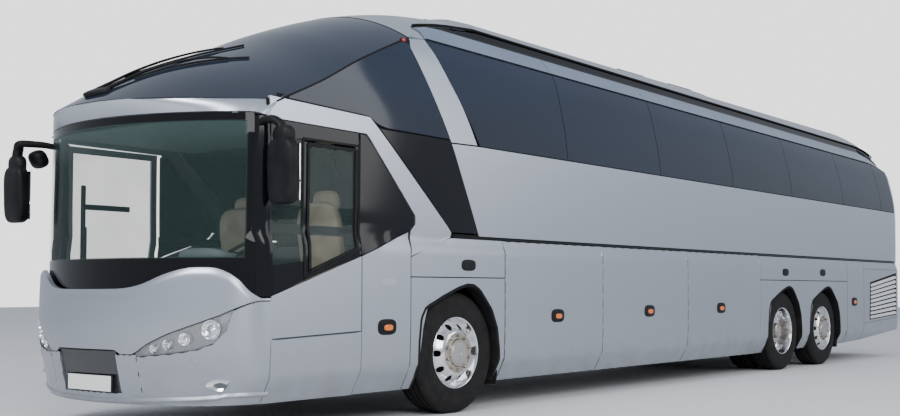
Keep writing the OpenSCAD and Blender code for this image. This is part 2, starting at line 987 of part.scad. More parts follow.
chassis_frame();
floors();
roof_shell();
left_wall();
right_wall();
rear_wall();
left_windows();
right_windows();
rear_window();
front_mask();
front_bumper();
windscreen();
visor_band();
upper_windscreen();
lamps();
mirrors();
wipers();
dashboard();
driver_seats();
passenger_seats();
wheel_housings();
front_axle();
rear_axles();
engine();
roof_unit();
left_knuckle();
right_knuckle();
single_tyre(1, axle1_y);  // front_left_tyre
single_rim(1, axle1_y);  // front_left_rim
single_tyre(-1, axle1_y);  // front_right_tyre
single_rim(-1, axle1_y);  // front_right_rim
twin_tyres(1);  // drive_left_tyres
twin_rims(1);  // drive_left_rims
twin_tyres(-1);  // drive_right_tyres
twin_rims(-1);  // drive_right_rims
single_tyre(1, axle3_y);  // tag_left_tyre
single_rim(1, axle3_y);  // tag_left_rim
single_tyre(-1, axle3_y);  // tag_right_tyre
single_rim(-1, axle3_y);  // tag_right_rim
front_door();
front_door_arm();
middle_door();
middle_door_arm();
left_storage_flap();
luggage_flap(1, 0);  // left_luggage_flap_1
luggage_flap(1, 1);  // left_luggage_flap_2
luggage_flap(1, 2);  // left_luggage_flap_3
luggage_flap(-1, 0);  // right_luggage_flap_1
luggage_flap(-1, 1);  // right_luggage_flap_2
engine_door(1);  // left_engine_door
engine_door(-1);  // right_engine_door
engine_hatch();
roof_hatch_front();
roof_hatch_rear();
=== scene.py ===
"""Three-axle high-deck touring coach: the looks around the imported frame.

Frame: +X is the vehicle's left, the front faces -Y, +Z is up, metres. A place
along the vehicle is told as its distance behind the front axle, "station".
Every skin is a sheet of points worked out as whole arrays and given a thickness.
"""
import json
import math

import bpy
import numpy as np
from bpy.props import FloatProperty, FloatVectorProperty, IntProperty, PointerProperty
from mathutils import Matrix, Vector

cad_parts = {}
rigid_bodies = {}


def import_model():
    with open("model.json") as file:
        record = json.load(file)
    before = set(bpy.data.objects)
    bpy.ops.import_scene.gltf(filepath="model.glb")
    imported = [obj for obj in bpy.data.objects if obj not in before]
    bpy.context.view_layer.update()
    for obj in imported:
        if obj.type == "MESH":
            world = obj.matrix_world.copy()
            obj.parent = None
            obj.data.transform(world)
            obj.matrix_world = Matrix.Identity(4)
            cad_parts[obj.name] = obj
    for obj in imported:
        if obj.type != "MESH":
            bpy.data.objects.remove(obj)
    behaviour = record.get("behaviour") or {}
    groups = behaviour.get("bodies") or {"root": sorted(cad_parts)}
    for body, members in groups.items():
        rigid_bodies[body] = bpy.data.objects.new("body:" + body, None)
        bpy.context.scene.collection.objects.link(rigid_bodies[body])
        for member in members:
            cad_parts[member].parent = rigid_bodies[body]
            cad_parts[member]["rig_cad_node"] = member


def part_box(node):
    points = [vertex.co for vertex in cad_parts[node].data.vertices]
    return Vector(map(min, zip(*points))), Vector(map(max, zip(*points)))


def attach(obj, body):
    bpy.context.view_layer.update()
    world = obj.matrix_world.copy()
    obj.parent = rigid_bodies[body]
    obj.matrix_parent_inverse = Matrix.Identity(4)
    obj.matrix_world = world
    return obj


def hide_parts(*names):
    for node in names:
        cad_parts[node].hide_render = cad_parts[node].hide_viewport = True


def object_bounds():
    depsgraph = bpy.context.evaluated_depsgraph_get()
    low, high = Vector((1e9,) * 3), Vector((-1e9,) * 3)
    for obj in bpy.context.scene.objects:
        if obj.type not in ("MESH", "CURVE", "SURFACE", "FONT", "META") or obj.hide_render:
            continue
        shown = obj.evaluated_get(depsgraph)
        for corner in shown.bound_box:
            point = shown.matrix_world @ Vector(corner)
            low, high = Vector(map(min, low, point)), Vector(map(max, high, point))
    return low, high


bl_info = {
    "name": "Touring Coach",
    "version": (1, 0, 0),
    "blender": (4, 5, 0),
    "location": "View3D > Sidebar > Coach",
    "description": "Builds the skins, glass, wheels and cab of a touring coach",
    "category": "Add Mesh",
}

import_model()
CAD_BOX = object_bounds()


def middle(node):
    lo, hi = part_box(node)
    return (np.array(lo) + np.array(hi)) / 2


AXLE = [float(middle(n)[1]) for n in ("front_left_tyre", "drive_left_tyres", "tag_left_tyre")]
WHEEL_Z = float(middle("front_left_tyre")[2])
TYRE_R = float(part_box("front_left_tyre")[1][2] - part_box("front_left_tyre")[0][2]) / 2
TYRE_OUT = float(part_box("front_left_tyre")[1][0])
A0 = AXLE[0]
S2, S3 = AXLE[1] - A0, AXLE[2] - A0
TAIL = float(CAD_BOX[1][1]) - A0
BODY = "coach_body"


# ---------------------------------------------------------------- numbers

def smooth(x, xs, ys):
    """Cubic curve through (xs, ys): each slope is the mean of its neighbours' chords."""
    x, xs, ys = np.asarray(x, float), np.asarray(xs, float), np.asarray(ys, float)
    d = np.diff(ys) / np.diff(xs)
    m = np.concatenate([[d[0]], np.where(d[:-1] * d[1:] > 0, (d[:-1] + d[1:]) / 2, 0.0), [d[-1]]])
    i = np.clip(np.searchsorted(xs, x, side="right") - 1, 0, len(xs) - 2)
    h = xs[i + 1] - xs[i]
    t = np.clip((x - xs[i]) / h, 0, 1)
    return ((2 * t**3 - 3 * t**2 + 1) * ys[i] + (t**3 - 2 * t**2 + t) * h * m[i]
            + (3 * t**2 - 2 * t**3) * ys[i + 1] + (t**3 - t**2) * h * m[i + 1])


def resample(line, n):
    """n points at even shares of a polyline's length."""
    line = np.asarray(line, float)
    s = np.concatenate([[0], np.cumsum(np.linalg.norm(np.diff(line, axis=0), axis=1))])
    t = np.linspace(0, s[-1], n)
    return np.stack([np.interp(t, s, line[:, k]) for k in range(line.shape[1])], 1)


KNEE_SLOPE = 0.0112


def knee(y):
    """Height of the shoulder line, which falls evenly towards the rear."""
    return 3.135 - KNEE_SLOPE * np.clip(np.asarray(y, float) + 0.45, 0, None)


def half_width(y, z):
    """Half the body's width: a tucked skirt, a chamfer under the belt and a smooth lean to the shoulder."""
    y, z = np.asarray(y, float), np.asarray(z, float)
    low = np.interp(z, [0.2, 0.24, 0.408, 0.425, 0.62, 0.8, 1.352, 1.362, 1.456, 1.47],
                    [1.15, 1.165, 1.259, 1.264, 1.272, 1.275, 1.275, 1.273, 1.241, 1.243])
    share = 2.265 + (z - 2.265) * (3.13 - 2.265) / (knee(y) - 2.265)
    up = smooth(np.where(z > 2.265, share, z), [1.45, 1.6, 2.0, 2.265, 2.52, 2.83, 3.0, 3.13, 3.2],
                [1.246, 1.25, 1.253, 1.25, 1.222, 1.16, 1.118, 1.072, 1.05])
    w = np.where(z > 1.456, up, low)
    r = 0.15
    past = np.clip(y - (TAIL - r), 0, r * 0.999)
    return w - (r - np.sqrt(r * r - past**2))


CROWN_R = 2.22


def brow(x, y):
    """Height of the sloping upper screen: a rising centre line less a round crosswise drop."""
    line = smooth(y, [-2.8, -2.66, -2.2, -1.5, -1.1, -0.5, 0.0, 0.5, 1.0, 9.0],
                  [2.345, 2.435, 2.7, 3.0, 3.18, 3.4, 3.52, 3.575, 3.6, 3.6])
    x = np.clip(np.abs(x), 0, 1.4)
    return line - (CROWN_R - np.sqrt(CROWN_R**2 - x**2)) / 0.925


def roof(x, y):
    """Height of the roof: shoulder, cove, rail and crown by |x|, under the upper screen's own slope."""
    x, y = np.abs(np.asarray(x, float)), np.asarray(y, float)
    k = knee(y)
    edge = np.interp(x, [0.895, 0.925, 1.072], [0.272, 0.176, 0.0]) + k
    top = smooth(x, [0.0, 0.3, 0.6, 0.8, 0.895, 0.93],
                 [3.6, 3.592, 3.548, 3.478, 3.41, 3.38])
    share = np.clip(x / 0.895, 0, 1) ** 2
    top = top + (k + 0.272 - 3.41) * share
    z = np.where(x > 0.895, edge, top)
    past = smooth(np.clip(y, TAIL - 1.4, TAIL), [TAIL - 1.4, TAIL - 0.9, TAIL - 0.45, TAIL - 0.16, TAIL],
                  [0.0, 0.012, 0.13, 0.36, 0.72]) * np.interp(x, [0.0, 0.6, 0.9, 1.07], [1.0, 0.8, 0.3, 0.2])
    return np.minimum(z - past, np.where(y < 1.2, brow(x, y) + np.clip(y - 0.6, 0, 9) * 0.3, 9.0))


# ---------------------------------------------------------------- meshes

def finish_mesh(name, verts, faces, body, material, slot=None, sharp=35, smooth_shade=True):
    """Puts arrays into a mesh at the origin, shades it and lets it ride on its body."""
    mesh = bpy.data.meshes.new(name)
    mesh.from_pydata(np.asarray(verts, float).tolist(), [], [list(map(int, f)) for f in faces])
    mesh.validate()
    mesh.update()
    if smooth_shade:
        mesh.polygons.foreach_set("use_smooth", np.ones(len(mesh.polygons), bool))
        mesh.set_sharp_from_angle(angle=math.radians(sharp))
    obj = bpy.data.objects.new(name, mesh)
    bpy.context.scene.collection.objects.link(obj)
    mesh.materials.append(material)
    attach(obj, body)
    return obj


def grid_faces(nu, nv, start=0, close_u=False):
    """Quads of a grid of nu by nv points."""
    i = np.arange(nu if close_u else nu - 1)[:, None]
    j = np.arange(nv - 1)[None, :]
    k = (i + 1) % nu
    return np.stack([start + i * nv + j, start + k * nv + j,
                     start + k * nv + j + 1, start + i * nv + j + 1], -1).reshape(-1, 4)


def slab(outer, inner):
    """Closed plate between two sheets of points, each nu by nv by 3, with four rims."""
    nu, nv = outer.shape[:2]
    verts = np.concatenate([outer.reshape(-1, 3), inner.reshape(-1, 3)])
    n = nu * nv
    a = grid_faces(nu, nv)
    b = grid_faces(nu, nv, n)[:, ::-1]
    idx = np.arange(n).reshape(nu, nv)
    ring = np.concatenate([idx[:, 0], idx[-1, 1:], idx[-2::-1, -1], idx[0, -2:0:-1]])
    nxt = np.roll(ring, -1)
    rim = np.stack([ring, ring + n, nxt + n, nxt], -1)
    # turn everything if the sheet's own normal looks inwards
    c = outer.reshape(-1, 3)[a]
    normal = np.cross(c[:, 1] - c[:, 0], c[:, 3] - c[:, 0]).sum(0)
    away = (outer - inner).reshape(-1, 3).sum(0)
    faces = np.concatenate([a, b, rim[:, ::-1]])
    if np.dot(normal, away) < 0:
        faces = faces[:, ::-1]
    return verts, faces


def merge(parts):
    """Joins several (verts, faces) into one."""
    verts, faces, n = [], [], 0
    for v, f in parts:
        verts.append(np.asarray(v, float))
        faces.extend([[i + n for i in face] for face in np.asarray(f, dtype=object)]
                     if not isinstance(f, np.ndarray) else (f + n).tolist())
        n += len(v)
    return np.concatenate(verts), faces


def at_station(points):
    """Moves points told from the front axle into the shared frame."""
    p = np.array(points, float)
    p[..., 1] += A0
    return p


def bevelled(obj, width=0.004, segments=2, angle=40):
    m = obj.modifiers.new("edge", "BEVEL")
    m.width, m.segments, m.limit_method = width, segments, "ANGLE"
    m.angle_limit = math.radians(angle)
    m.harden_normals = False
    return obj


def side_sheet(side, a, b, nu, nv, push=0.0, thick=0.02):
    """Plate on the side wall, ruled between two (station, height) lines, pushed out by push."""
    a, b = resample(a, nu), resample(b, nu)
    v = np.linspace(0, 1, nv)[None, :, None]
    yz = a[:, None] * (1 - v) + b[:, None] * v
    w = half_width(yz[..., 0], yz[..., 1])
    out = np.stack([side * (w + push), yz[..., 0], yz[..., 1]], -1)
    ins = np.stack([side * (w + push - thick), yz[..., 0], yz[..., 1]], -1)
    return slab(at_station(out), at_station(ins))


def top_sheet(xs, y0, y1, ny, push=0.0, thick=0.02):
    """Plate on the roof over the given x columns, between two station lines (numbers or one value per column)."""
    xs = np.asarray(xs, float)
    y0 = np.broadcast_to(np.asarray(y0, float), xs.shape)
    y1 = np.broadcast_to(np.asarray(y1, float), xs.shape)
    t = np.linspace(0, 1, ny)[None, :]
    y = y0[:, None] * (1 - t) + y1[:, None] * t
    x = np.broadcast_to(xs[:, None], y.shape)
    z = roof(x, y)
    out = np.stack([x, y, z + push], -1)
    ins = np.stack([x * 0.985, y, z + push - thick], -1)
    return slab(at_station(out), at_station(ins))


NOSE_R, CORNER_R = 1.88, 0.35


def nose_point(theta, z, setback, grow=0.0):
    """Point of the front at plan angle theta: a big arc, then a small corner arc that meets the side."""
    theta, z = np.broadcast_arrays(np.asarray(theta, float), np.asarray(z, float))
    hw = half_width(np.full(z.shape, -2.0), z)
    yc = -0.871 + setback
    cx = hw - CORNER_R
    cy = yc - np.sqrt((NOSE_R - CORNER_R) ** 2 - cx**2)
    join = np.arcsin(cx / (NOSE_R - CORNER_R))
    t = np.abs(theta)
    big = t < join
    x = np.where(big, (NOSE_R + grow) * np.sin(t), cx + (CORNER_R + grow) * np.sin(t))
    y = np.where(big, yc - (NOSE_R + grow) * np.cos(t), cy - (CORNER_R + grow) * np.cos(t))
    return np.stack([np.sign(theta) * x, y, z], -1)


def nose_angle(x, z=0.9, setback=0.0):
    """Plan angle at which the front has the given x."""
    hw = float(half_width(-2.0, z))
    cx = hw - CORNER_R
    join = math.asin(cx / (NOSE_R - CORNER_R))
    s, x = math.copysign(1, x), abs(x)
    if x < NOSE_R * math.sin(join):
        return s * math.asin(x / NOSE_R)
    return s * math.asin(min(1.0, (x - cx) / CORNER_R))


def mask_setback(z):
    """How far the front stands back at each height: full at 0.9 m, tucked in at the bottom."""
    return smooth(z, [0.2, 0.3, 0.42, 0.65, 0.9, 1.25], [0.125, 0.085, 0.055, 0.012, 0.0, 0.012])


def nose_sheet(theta, z0, z1, nv, setback, grow=0.0, thick=0.02):
    """Plate on the front between two heights per plan angle; setback is a number or a function of height."""
    theta = np.asarray(theta, float)
    z0, z1 = (np.broadcast_to(np.asarray(v, float), theta.shape) for v in (z0, z1))
    t = np.linspace(0, 1, nv)[None, :]
    z = z0[:, None] * (1 - t) + z1[:, None] * t
    th = np.broadcast_to(theta[:, None], z.shape)
    s = setback(z) if callable(setback) else np.full(z.shape, float(setback))
    return slab(at_station(nose_point(th, z, s, grow)), at_station(nose_point(th, z, s, grow - thick)))


def lathe(profile, centre, side=1, n=96):
    """Turns a closed [radius, x] outline about the X line through centre."""
    p = np.asarray(profile, float)
    a = np.linspace(0, 2 * np.pi, n, endpoint=False)[:, None]
    x = np.broadcast_to(p[None, :, 1], (n, len(p)))
    v = np.stack([centre[0] + side * x, centre[1] + p[None, :, 0] * np.cos(a),
                  centre[2] + p[None, :, 0] * np.sin(a)], -1).reshape(-1, 3)
    m = len(p)
    i, j = np.arange(n)[:, None], np.arange(m)[None, :]
    k, l = (i + 1) % n, (j + 1) % m
    f = np.stack([i * m + j, k * m + j, k * m + l, i * m + l], -1).reshape(-1, 4)
    tri = v[f]
    vol = np.einsum("ij,ij->i", tri[:, 0] - centre, np.cross(tri[:, 1] - centre, tri[:, 2] - centre)).sum() \
        + np.einsum("ij,ij->i", tri[:, 0] - centre, np.cross(tri[:, 2] - centre, tri[:, 3] - centre)).sum()
    return v, (f if vol > 0 else f[:, ::-1])


def tube(path, radius, n=12, squash=1.0):
    """Round bar along a path: rings across a frame carried along it without twist, closed ends."""
    p = np.asarray(path, float)
    r = np.broadcast_to(np.asarray(radius, float), (len(p),))
    d = np.gradient(p, axis=0)
    d /= np.linalg.norm(d, axis=1, keepdims=True)
    ref = np.array([0.0, 0.0, 1.0]) if abs(d[:, 2]).mean() < 0.8 else np.array([1.0, 0.0, 0.0])
    u = np.cross(d, ref)
    u /= np.linalg.norm(u, axis=1, keepdims=True)
    w = np.cross(u, d)
    a = np.linspace(0, 2 * np.pi, n, endpoint=False)
    v = (p[:, None] + r[:, None, None] * (np.cos(a)[None, :, None] * u[:, None]
                                          + squash * np.sin(a)[None, :, None] * w[:, None])).reshape(-1, 3)
    i, j = np.arange(len(p) - 1)[:, None], np.arange(n)[None, :]
    k = (j + 1) % n
    f = np.stack([i * n + j, i * n + k, (i + 1) * n + k, (i + 1) * n + j], -1).reshape(-1, 4).tolist()
    f.append(list(range(n))[::-1])
    f.append(list(range((len(p) - 1) * n, len(p) * n)))
    return v, [q[::-1] for q in f]


def block(lo, hi, tilt=None):
    """Box with its corners as arrays; tilt is a function that moves the points."""
    lo, hi = np.asarray(lo, float), np.asarray(hi, float)
    c = np.array([[x, y, z] for x in (0, 1) for y in (0, 1) for z in (0, 1)], float)
    v = lo + c * (hi - lo)
    if tilt:
        v = tilt(v)
    f = np.array([[0, 1, 3, 2], [4, 6, 7, 5], [0, 4, 5, 1], [2, 3, 7, 6], [0, 2, 6, 4], [1, 5, 7, 3]])
    return v, f


def pillow(centre, size, power=2.6, crown=1.0, n=20, lean=0.0):
    """Crowned closed form: a superellipsoid of the given size, its sides pulled in, leant about X."""
    u = np.linspace(-np.pi / 2, np.pi / 2, n)[:, None]
    v = np.linspace(-np.pi, np.pi, 2 * n, endpoint=False)[None, :]
    e = 2 / power

    def c(a):
        return np.sign(np.cos(a)) * np.abs(np.cos(a)) ** e

    def s(a):
        return np.sign(np.sin(a)) * np.abs(np.sin(a)) ** e

    x = c(u) * c(v) * size[0] / 2
    y = c(u) * s(v) * size[1] / 2
    z = s(u) * np.ones_like(v) * size[2] / 2
    pull = 1 - 0.05 * crown * (1 - (2 * z / size[2]) ** 2)
    x, y = x * pull, y * pull
    ca, sa = math.cos(lean), math.sin(lean)
    y, z = y * ca - z * sa, y * sa + z * ca
    p = np.stack([x + centre[0], y + centre[1], z + centre[2]], -1)
    nu, nv = p.shape[:2]
    i, j = np.arange(nu - 1)[:, None], np.arange(nv)[None, :]
    k = (j + 1) % nv
    f = np.stack([i * nv + j, i * nv + k, (i + 1) * nv + k, (i + 1) * nv + j], -1)[1:-1].reshape(-1, 4)
    verts = p[1:-1].reshape(-1, 3)
    f = f - nv
    poles = np.stack([p[0, 0], p[-1, 0]])
    a, b = len(verts), len(verts) + 1
    jj = np.arange(nv)
    kk = (jj + 1) % nv
    low = [[a, int(q), int(p_)] for p_, q in zip(jj, kk)]
    last = (nu - 3) * nv
    high = [[b, int(last + p_), int(last + q)] for p_, q in zip(jj, kk)]
    return np.concatenate([verts, poles]), f.tolist() + low + high


# ---------------------------------------------------------------- shader maths

class Wire:
    """A shader socket on which + - * / and ** add Math nodes."""

    def __init__(self, finish, socket):
        self.finish, self.socket = finish, socket

    def math(self, kind, a, b):
        return self.finish.node("ShaderNodeMath", {"operation": kind}, {0: a, 1: b})

    def __add__(self, o):
        return self.math("ADD", self, o)

    def __sub__(self, o):
        return self.math("SUBTRACT", self, o)

    def __mul__(self, o):
        return self.math("MULTIPLY", self, o)

    def __truediv__(self, o):
        return self.math("DIVIDE", self, o)

    def __pow__(self, o):
        return self.math("POWER", self, o)

    def __rsub__(self, o):
        return self.math("SUBTRACT", o, self)

    def __rtruediv__(self, o):
        return self.math("DIVIDE", o, self)

    __radd__, __rmul__ = __add__, __mul__

    def clip(self, lo=0.0, hi=1.0):
        """Straight ramp: 0 at lo, 1 at hi, held flat outside."""
        return self.finish.node("ShaderNodeMapRange", {"clamp": True}, {"Value": self, "From Min": lo, "From Max": hi})


class Finish:
    """A material and its nodes; node() adds any node, put() feeds the surface."""

    def __init__(self, name, colour, roughness=0.5, metallic=0.0, **fixed):
        self.mat = bpy.data.materials.new(name)
        self.mat.use_nodes = True
        self.tree = self.mat.node_tree
        self.surface = self.tree.nodes["Principled BSDF"]
        self.set("Base Color", (*colour[:3], 1.0))
        self.set("Roughness", roughness)
        self.set("Metallic", metallic)
        for key, value in fixed.items():
            self.set(key.replace("_", " "), value)
        self._place = None

    def set(self, socket, value):
        self.surface.inputs[socket].default_value = value

    def node(self, kind, settings=None, inputs=None, out=0):
        n = self.tree.nodes.new(kind)
        for key, value in (settings or {}).items():
            if key == "stops":
                ramp = n.color_ramp
                while len(ramp.elements) < len(value):
                    ramp.elements.new(0.5)
                for e, (pos, col) in zip(ramp.elements, value):
                    e.position, e.color = pos, (*col, 1.0)
            else:
                setattr(n, key, value)
        for key, value in (inputs or {}).items():
            if isinstance(value, Wire):
                self.tree.links.new(value.socket, n.inputs[key])
            else:
                n.inputs[key].default_value = value
        return Wire(self, n.outputs[out])

    def put(self, socket, wire):
        self.tree.links.new(wire.socket, self.surface.inputs[socket])
        return self

    @property
    def place(self):
        if self._place is None:
            self._place = self.node("ShaderNodeTexCoord", out="Object")
        return self._place

    def axis(self, k):
        return self.node("ShaderNodeSeparateXYZ", inputs={0: self.place}, out=k)

    def stretch(self, sx, sy, sz, at=(0, 0, 0)):
        return self.node("ShaderNodeMapping", inputs={"Vector": self.place, "Scale": (sx, sy, sz), "Location": at})

    def noise(self, scale, detail=2.0, vector=None, roughness=0.5):
        return self.node("ShaderNodeTexNoise", inputs={"Vector": vector or self.place, "Scale": scale,
                                                        "Detail": detail, "Roughness": roughness})

    def cells(self, scale, vector=None, feature="F1"):
        return self.node("ShaderNodeTexVoronoi", {"feature": feature}, {"Vector": vector or self.place, "Scale": scale})

    def wave(self, scale, vector=None, direction="X", distortion=0.0):
        return self.node("ShaderNodeTexWave", {"bands_direction": direction},
                         {"Vector": vector or self.place, "Scale": scale, "Distortion": distortion}, out=1)

    def blend(self, fac, a, b):
        """Colour a where fac is 0, colour b where it is 1."""
        a = (*a, 1.0) if isinstance(a, tuple) and len(a) == 3 else a
        b = (*b, 1.0) if isinstance(b, tuple) and len(b) == 3 else b
        return self.node("ShaderNodeMix", {"data_type": "RGBA"}, {0: fac, 6: a, 7: b}, out=2)

    def bump(self, height, strength=0.3, depth=0.001):
        self.put("Normal", self.node("ShaderNodeBump", inputs={"Height": height, "Strength": strength, "Distance": depth}))
        return self


_made = {}


def finish(maker):
    """Keeps one material per maker function."""
    def get(*args):
        key = (maker.__name__, args)
        if key not in _made:
            _made[key] = maker(*args).mat
        return _made[key]
    return get


def toned(title, colour, roughness, metallic=0.0, tones=None, worn=None, grain=None, **fixed):
    """Maker of a finish in two tones, with a varied roughness and a fine grain.

    tones: noise, clip or None, first tone, second tone; worn: least roughness, noise, gain;
    grain: "noise" or "cells", its values, strength, depth.
    """
    def make():
        f = Finish(title, colour, roughness, metallic, **fixed)
        if tones:
            noise, clip, first, second = tones
            mask = f.noise(*noise)
            f.put("Base Color", f.blend(mask.clip(*clip) if clip else mask, first, second))
        if worn:
            least, noise, gain = worn
            f.put("Roughness", f.noise(*noise) * gain + least)
        if grain:
            kind, values, strength, depth = grain
            f.bump(getattr(f, kind)(*values), strength, depth)
        return f
    make.__name__ = title
    return finish(make)


def scaled(c, k):
    return tuple(min(1.0, v * k) for v in c[:3])


def colours():
    return bpy.context.scene.coach_colours


@finish
def silver_paint():
    c = tuple(colours().paint)
    f = Finish("silver metallic paint", c, 0.34, 0.82, Coat_Roughness=0.06)
    f.set("Coat Weight", 0.25)
    flake = f.noise(420.0, 1.0)
    broad = f.noise(0.8, 3.0)
    low = 1.0 - f.axis(2).clip(0.22, 0.72)
    dust = low * f.noise(5.0, 6.0).clip(0.3, 0.75) * 0.3
    # Painted shade and light: the paint is darker low down and lighter high up, as more light falls on the upper
    # panels.
    body = f.blend(f.axis(2).clip(0.25, 2.3), scaled(c, 0.74), scaled(c, 1.1))
    body = f.blend(broad.clip(0.3, 0.7) * 0.12, body, scaled(c, 1.15))
    body = f.blend(flake.clip(0.45, 0.62) * 0.1, body, scaled(c, 1.5))
    f.put("Base Color", f.blend(dust, body, (0.2, 0.19, 0.17)))
    f.put("Roughness", 0.31 + flake * 0.06 + dust * 0.8)
    return f.bump(f.noise(700.0, 1.0), 0.05, 0.0003)


def sooty(f, top, bottom):
    """A little road film on what is low."""
    film = (1.0 - f.axis(2).clip(0.2, 1.1)) * f.noise(7.0, 5.0).clip(0.35, 0.8)
    f.put("Base Color", f.blend(film * 0.5, top, bottom))
    return film


@finish
def tinted_glass():
    f = Finish("dark tinted glass", (0.01, 0.014, 0.02), 0.045, 0.0, IOR=1.42)
    # Painted reflection of the sky: the glass turns bluer towards the top and carries streaky bluish bands.
    z = f.axis(2)
    band = f.noise(1.1, 4.0, f.stretch(1.0, 0.35, 2.2))
    tone = f.blend(z.clip(2.2, 3.2), (0.02, 0.024, 0.032), (0.01, 0.02, 0.045))
    f.put("Base Color", f.blend(band.clip(0.35, 0.7) * 0.5, tone, (0.016, 0.028, 0.052)))
    f.put("Roughness", 0.035 + f.noise(2.5, 3.0) * 0.03)
    return f.bump(f.noise(0.7, 1.0), 0.04, 0.02)


@finish
def roof_glass():
    # The light blue base colour and its mottling are painted reflection of the sky in the cove glass.
    f = Finish("cove glass", (0.13, 0.17, 0.24), 0.16, 0.35, IOR=1.5)
    f.set("Coat Weight", 0.5)
    f.put("Base Color", f.blend(f.noise(0.9, 3.0).clip(0.3, 0.7), (0.13, 0.19, 0.29), (0.18, 0.25, 0.36)))
    return f


@finish
def clear_screen(fade_low, half):
    """Clear glass that turns to a black printed border below fade_low and outside half."""
    f = Finish("clear front glass", (0.5, 0.66, 0.62), 0.015, 0.0, IOR=1.5)
    z, x = f.axis(2), f.node("ShaderNodeMath", {"operation": "ABSOLUTE"}, {0: f.axis(0)})
    low = 1.0 - z.clip(fade_low - 0.012, fade_low)
    side = x.clip(half - 0.01, half)
    top = z.clip(2.205, 2.215)
    edge = f.node("ShaderNodeMath", {"operation": "MAXIMUM"}, {0: low, 1: side})
    edge = f.node("ShaderNodeMath", {"operation": "MAXIMUM"}, {0: edge, 1: top})
    f.put("Base Color", f.blend(edge, (0.05, 0.085, 0.08), (0.003, 0.003, 0.004)))
    shade = z.clip(1.95, 2.2) * 0.25
    f.set("Specular IOR Level", 0.3)
    f.put("Alpha", (edge * 0.84 + 0.16 + shade).clip(0.0, 1.0))
    return f


@finish
def clear_side():
    f = Finish("clear side glass", (0.05, 0.08, 0.075), 0.02, 0.0, IOR=1.45)
    f.put("Alpha", 0.16 + f.noise(3.0, 2.0) * 0.08)
    return f


@finish
def black_gloss():
    f = Finish("black gloss panel", (0.006, 0.007, 0.009), 0.07, 0.0, IOR=1.38)
    sooty(f, (0.003, 0.0035, 0.005), (0.02, 0.019, 0.018))
    f.put("Roughness", 0.06 + f.noise(3.0, 3.0) * 0.06)
    return f


@finish
def rubber():
    f = Finish("rubber seal", (0.008, 0.008, 0.009), 0.75, 0.0, Specular_IOR_Level=0.2)
    sooty(f, (0.008, 0.008, 0.009), (0.05, 0.047, 0.043))
    f.put("Roughness", 0.65 + f.noise(40.0, 3.0) * 0.2)
    return f


moulded_black = toned("moulded black plastic", (0.02, 0.021, 0.023), 0.42, 0.0, Specular_IOR_Level=0.15,
                      tones=((9.0, 4.0), (0.35, 0.7), (0.005, 0.0055, 0.0065), (0.012, 0.0125, 0.014)),
                      worn=(0.36, (60.0, 2.0), 0.16),
                      grain=("cells", (900.0,), 0.25, 0.0004))
inner_black = toned("dark inner lining", (0.01, 0.01, 0.011), 0.85,
                    tones=((4.0, 5.0), None, (0.007, 0.007, 0.008), (0.02, 0.02, 0.021)),
                    grain=("noise", (120.0, 3.0), 0.3, 0.001))
tyre_rubber = toned("tyre rubber", (0.012, 0.012, 0.013), 0.72, 0.0, Specular_IOR_Level=0.2,
                    tones=((14.0, 5.0), (0.35, 0.75), (0.006, 0.006, 0.007), (0.018, 0.017, 0.016)),
                    worn=(0.62, (14.0, 5.0), 0.25),
                    grain=("noise", (260.0, 3.0), 0.25, 0.0006))
polished = toned("polished alloy", (0.8, 0.81, 0.83), 0.12, 1.0,
                 tones=((18.0, 5.0), (0.5, 0.85), (0.82, 0.83, 0.85), (0.52, 0.5, 0.47)),
                 worn=(0.09, (18.0, 5.0), 0.14),
                 grain=("noise", (90.0, 2.0), 0.04, 0.0005))
satin_alloy = toned("satin hub metal", (0.52, 0.5, 0.48), 0.3, 1.0,
                    tones=((25.0, 5.0), (0.35, 0.8), (0.5, 0.46, 0.41), (0.26, 0.235, 0.2)),
                    worn=(0.22, (25.0, 5.0), 0.2))
polished_slats = toned("bright louvre metal", (0.72, 0.73, 0.75), 0.35, 0.3,
                       tones=((6.0, 3.0), None, (0.66, 0.68, 0.71), (0.84, 0.85, 0.87)))
deep_shadow = toned("deep recess", (0.004, 0.004, 0.004), 0.9,
                    tones=((20.0,), None, (0.003, 0.003, 0.003), (0.009, 0.009, 0.009)))


@finish
def lens(tint):
    table = {"clear": ((0.8, 0.84, 0.86), 0.1), "amber": ((0.8, 0.16, 0.01), 0.95),
             "red": ((0.45, 0.008, 0.008), 0.94), "smoke": ((0.1, 0.11, 0.12), 0.8)}
    col, alpha = table[tint]
    f = Finish(tint + " lens", col, 0.05, 0.0, IOR=1.49)
    f.set("Coat Weight", 0.5)
    ribs = f.wave(60.0, direction="Z")
    f.put("Base Color", f.blend(ribs * 0.25, col, scaled(col, 0.7)))
    f.put("Alpha", f.noise(3.0) * 0.04 + (alpha - 0.02))
    if tint == "amber":
        f.put("Emission Color", f.blend(ribs * 0.3, (0.9, 0.2, 0.01), (0.6, 0.1, 0.0)))
        f.set("Emission Strength", 0.12)
    return f


reflector = toned("bright reflector", (0.86, 0.88, 0.9), 0.1, 1.0,
                  tones=((12.0,), None, (0.78, 0.8, 0.82), (0.92, 0.93, 0.95)),
                  worn=(0.07, (30.0, 2.0), 0.1))
lamp_surround = toned("lamp surround", (0.2, 0.21, 0.22), 0.22, 0.9,
                      tones=((10.0, 2.0), None, (0.1, 0.105, 0.11), (0.2, 0.21, 0.22)))


@finish
def blank_plate():
    f = Finish("blank number plate", (0.78, 0.78, 0.76), 0.35)
    f.put("Base Color", f.blend(f.noise(6.0, 4.0).clip(0.4, 0.8) * 0.3, (0.8, 0.8, 0.78), (0.62, 0.61, 0.57)))
    return f


@finish
def mesh_grille():
    f = Finish("fine dark mesh", (0.085, 0.09, 0.095), 0.5, 0.3)
    holes = f.cells(260.0)
    f.put("Base Color", f.blend(holes.clip(0.1, 0.45), (0.018, 0.019, 0.021), (0.06, 0.063, 0.066)))
    return f.bump(holes, 0.5, 0.001)


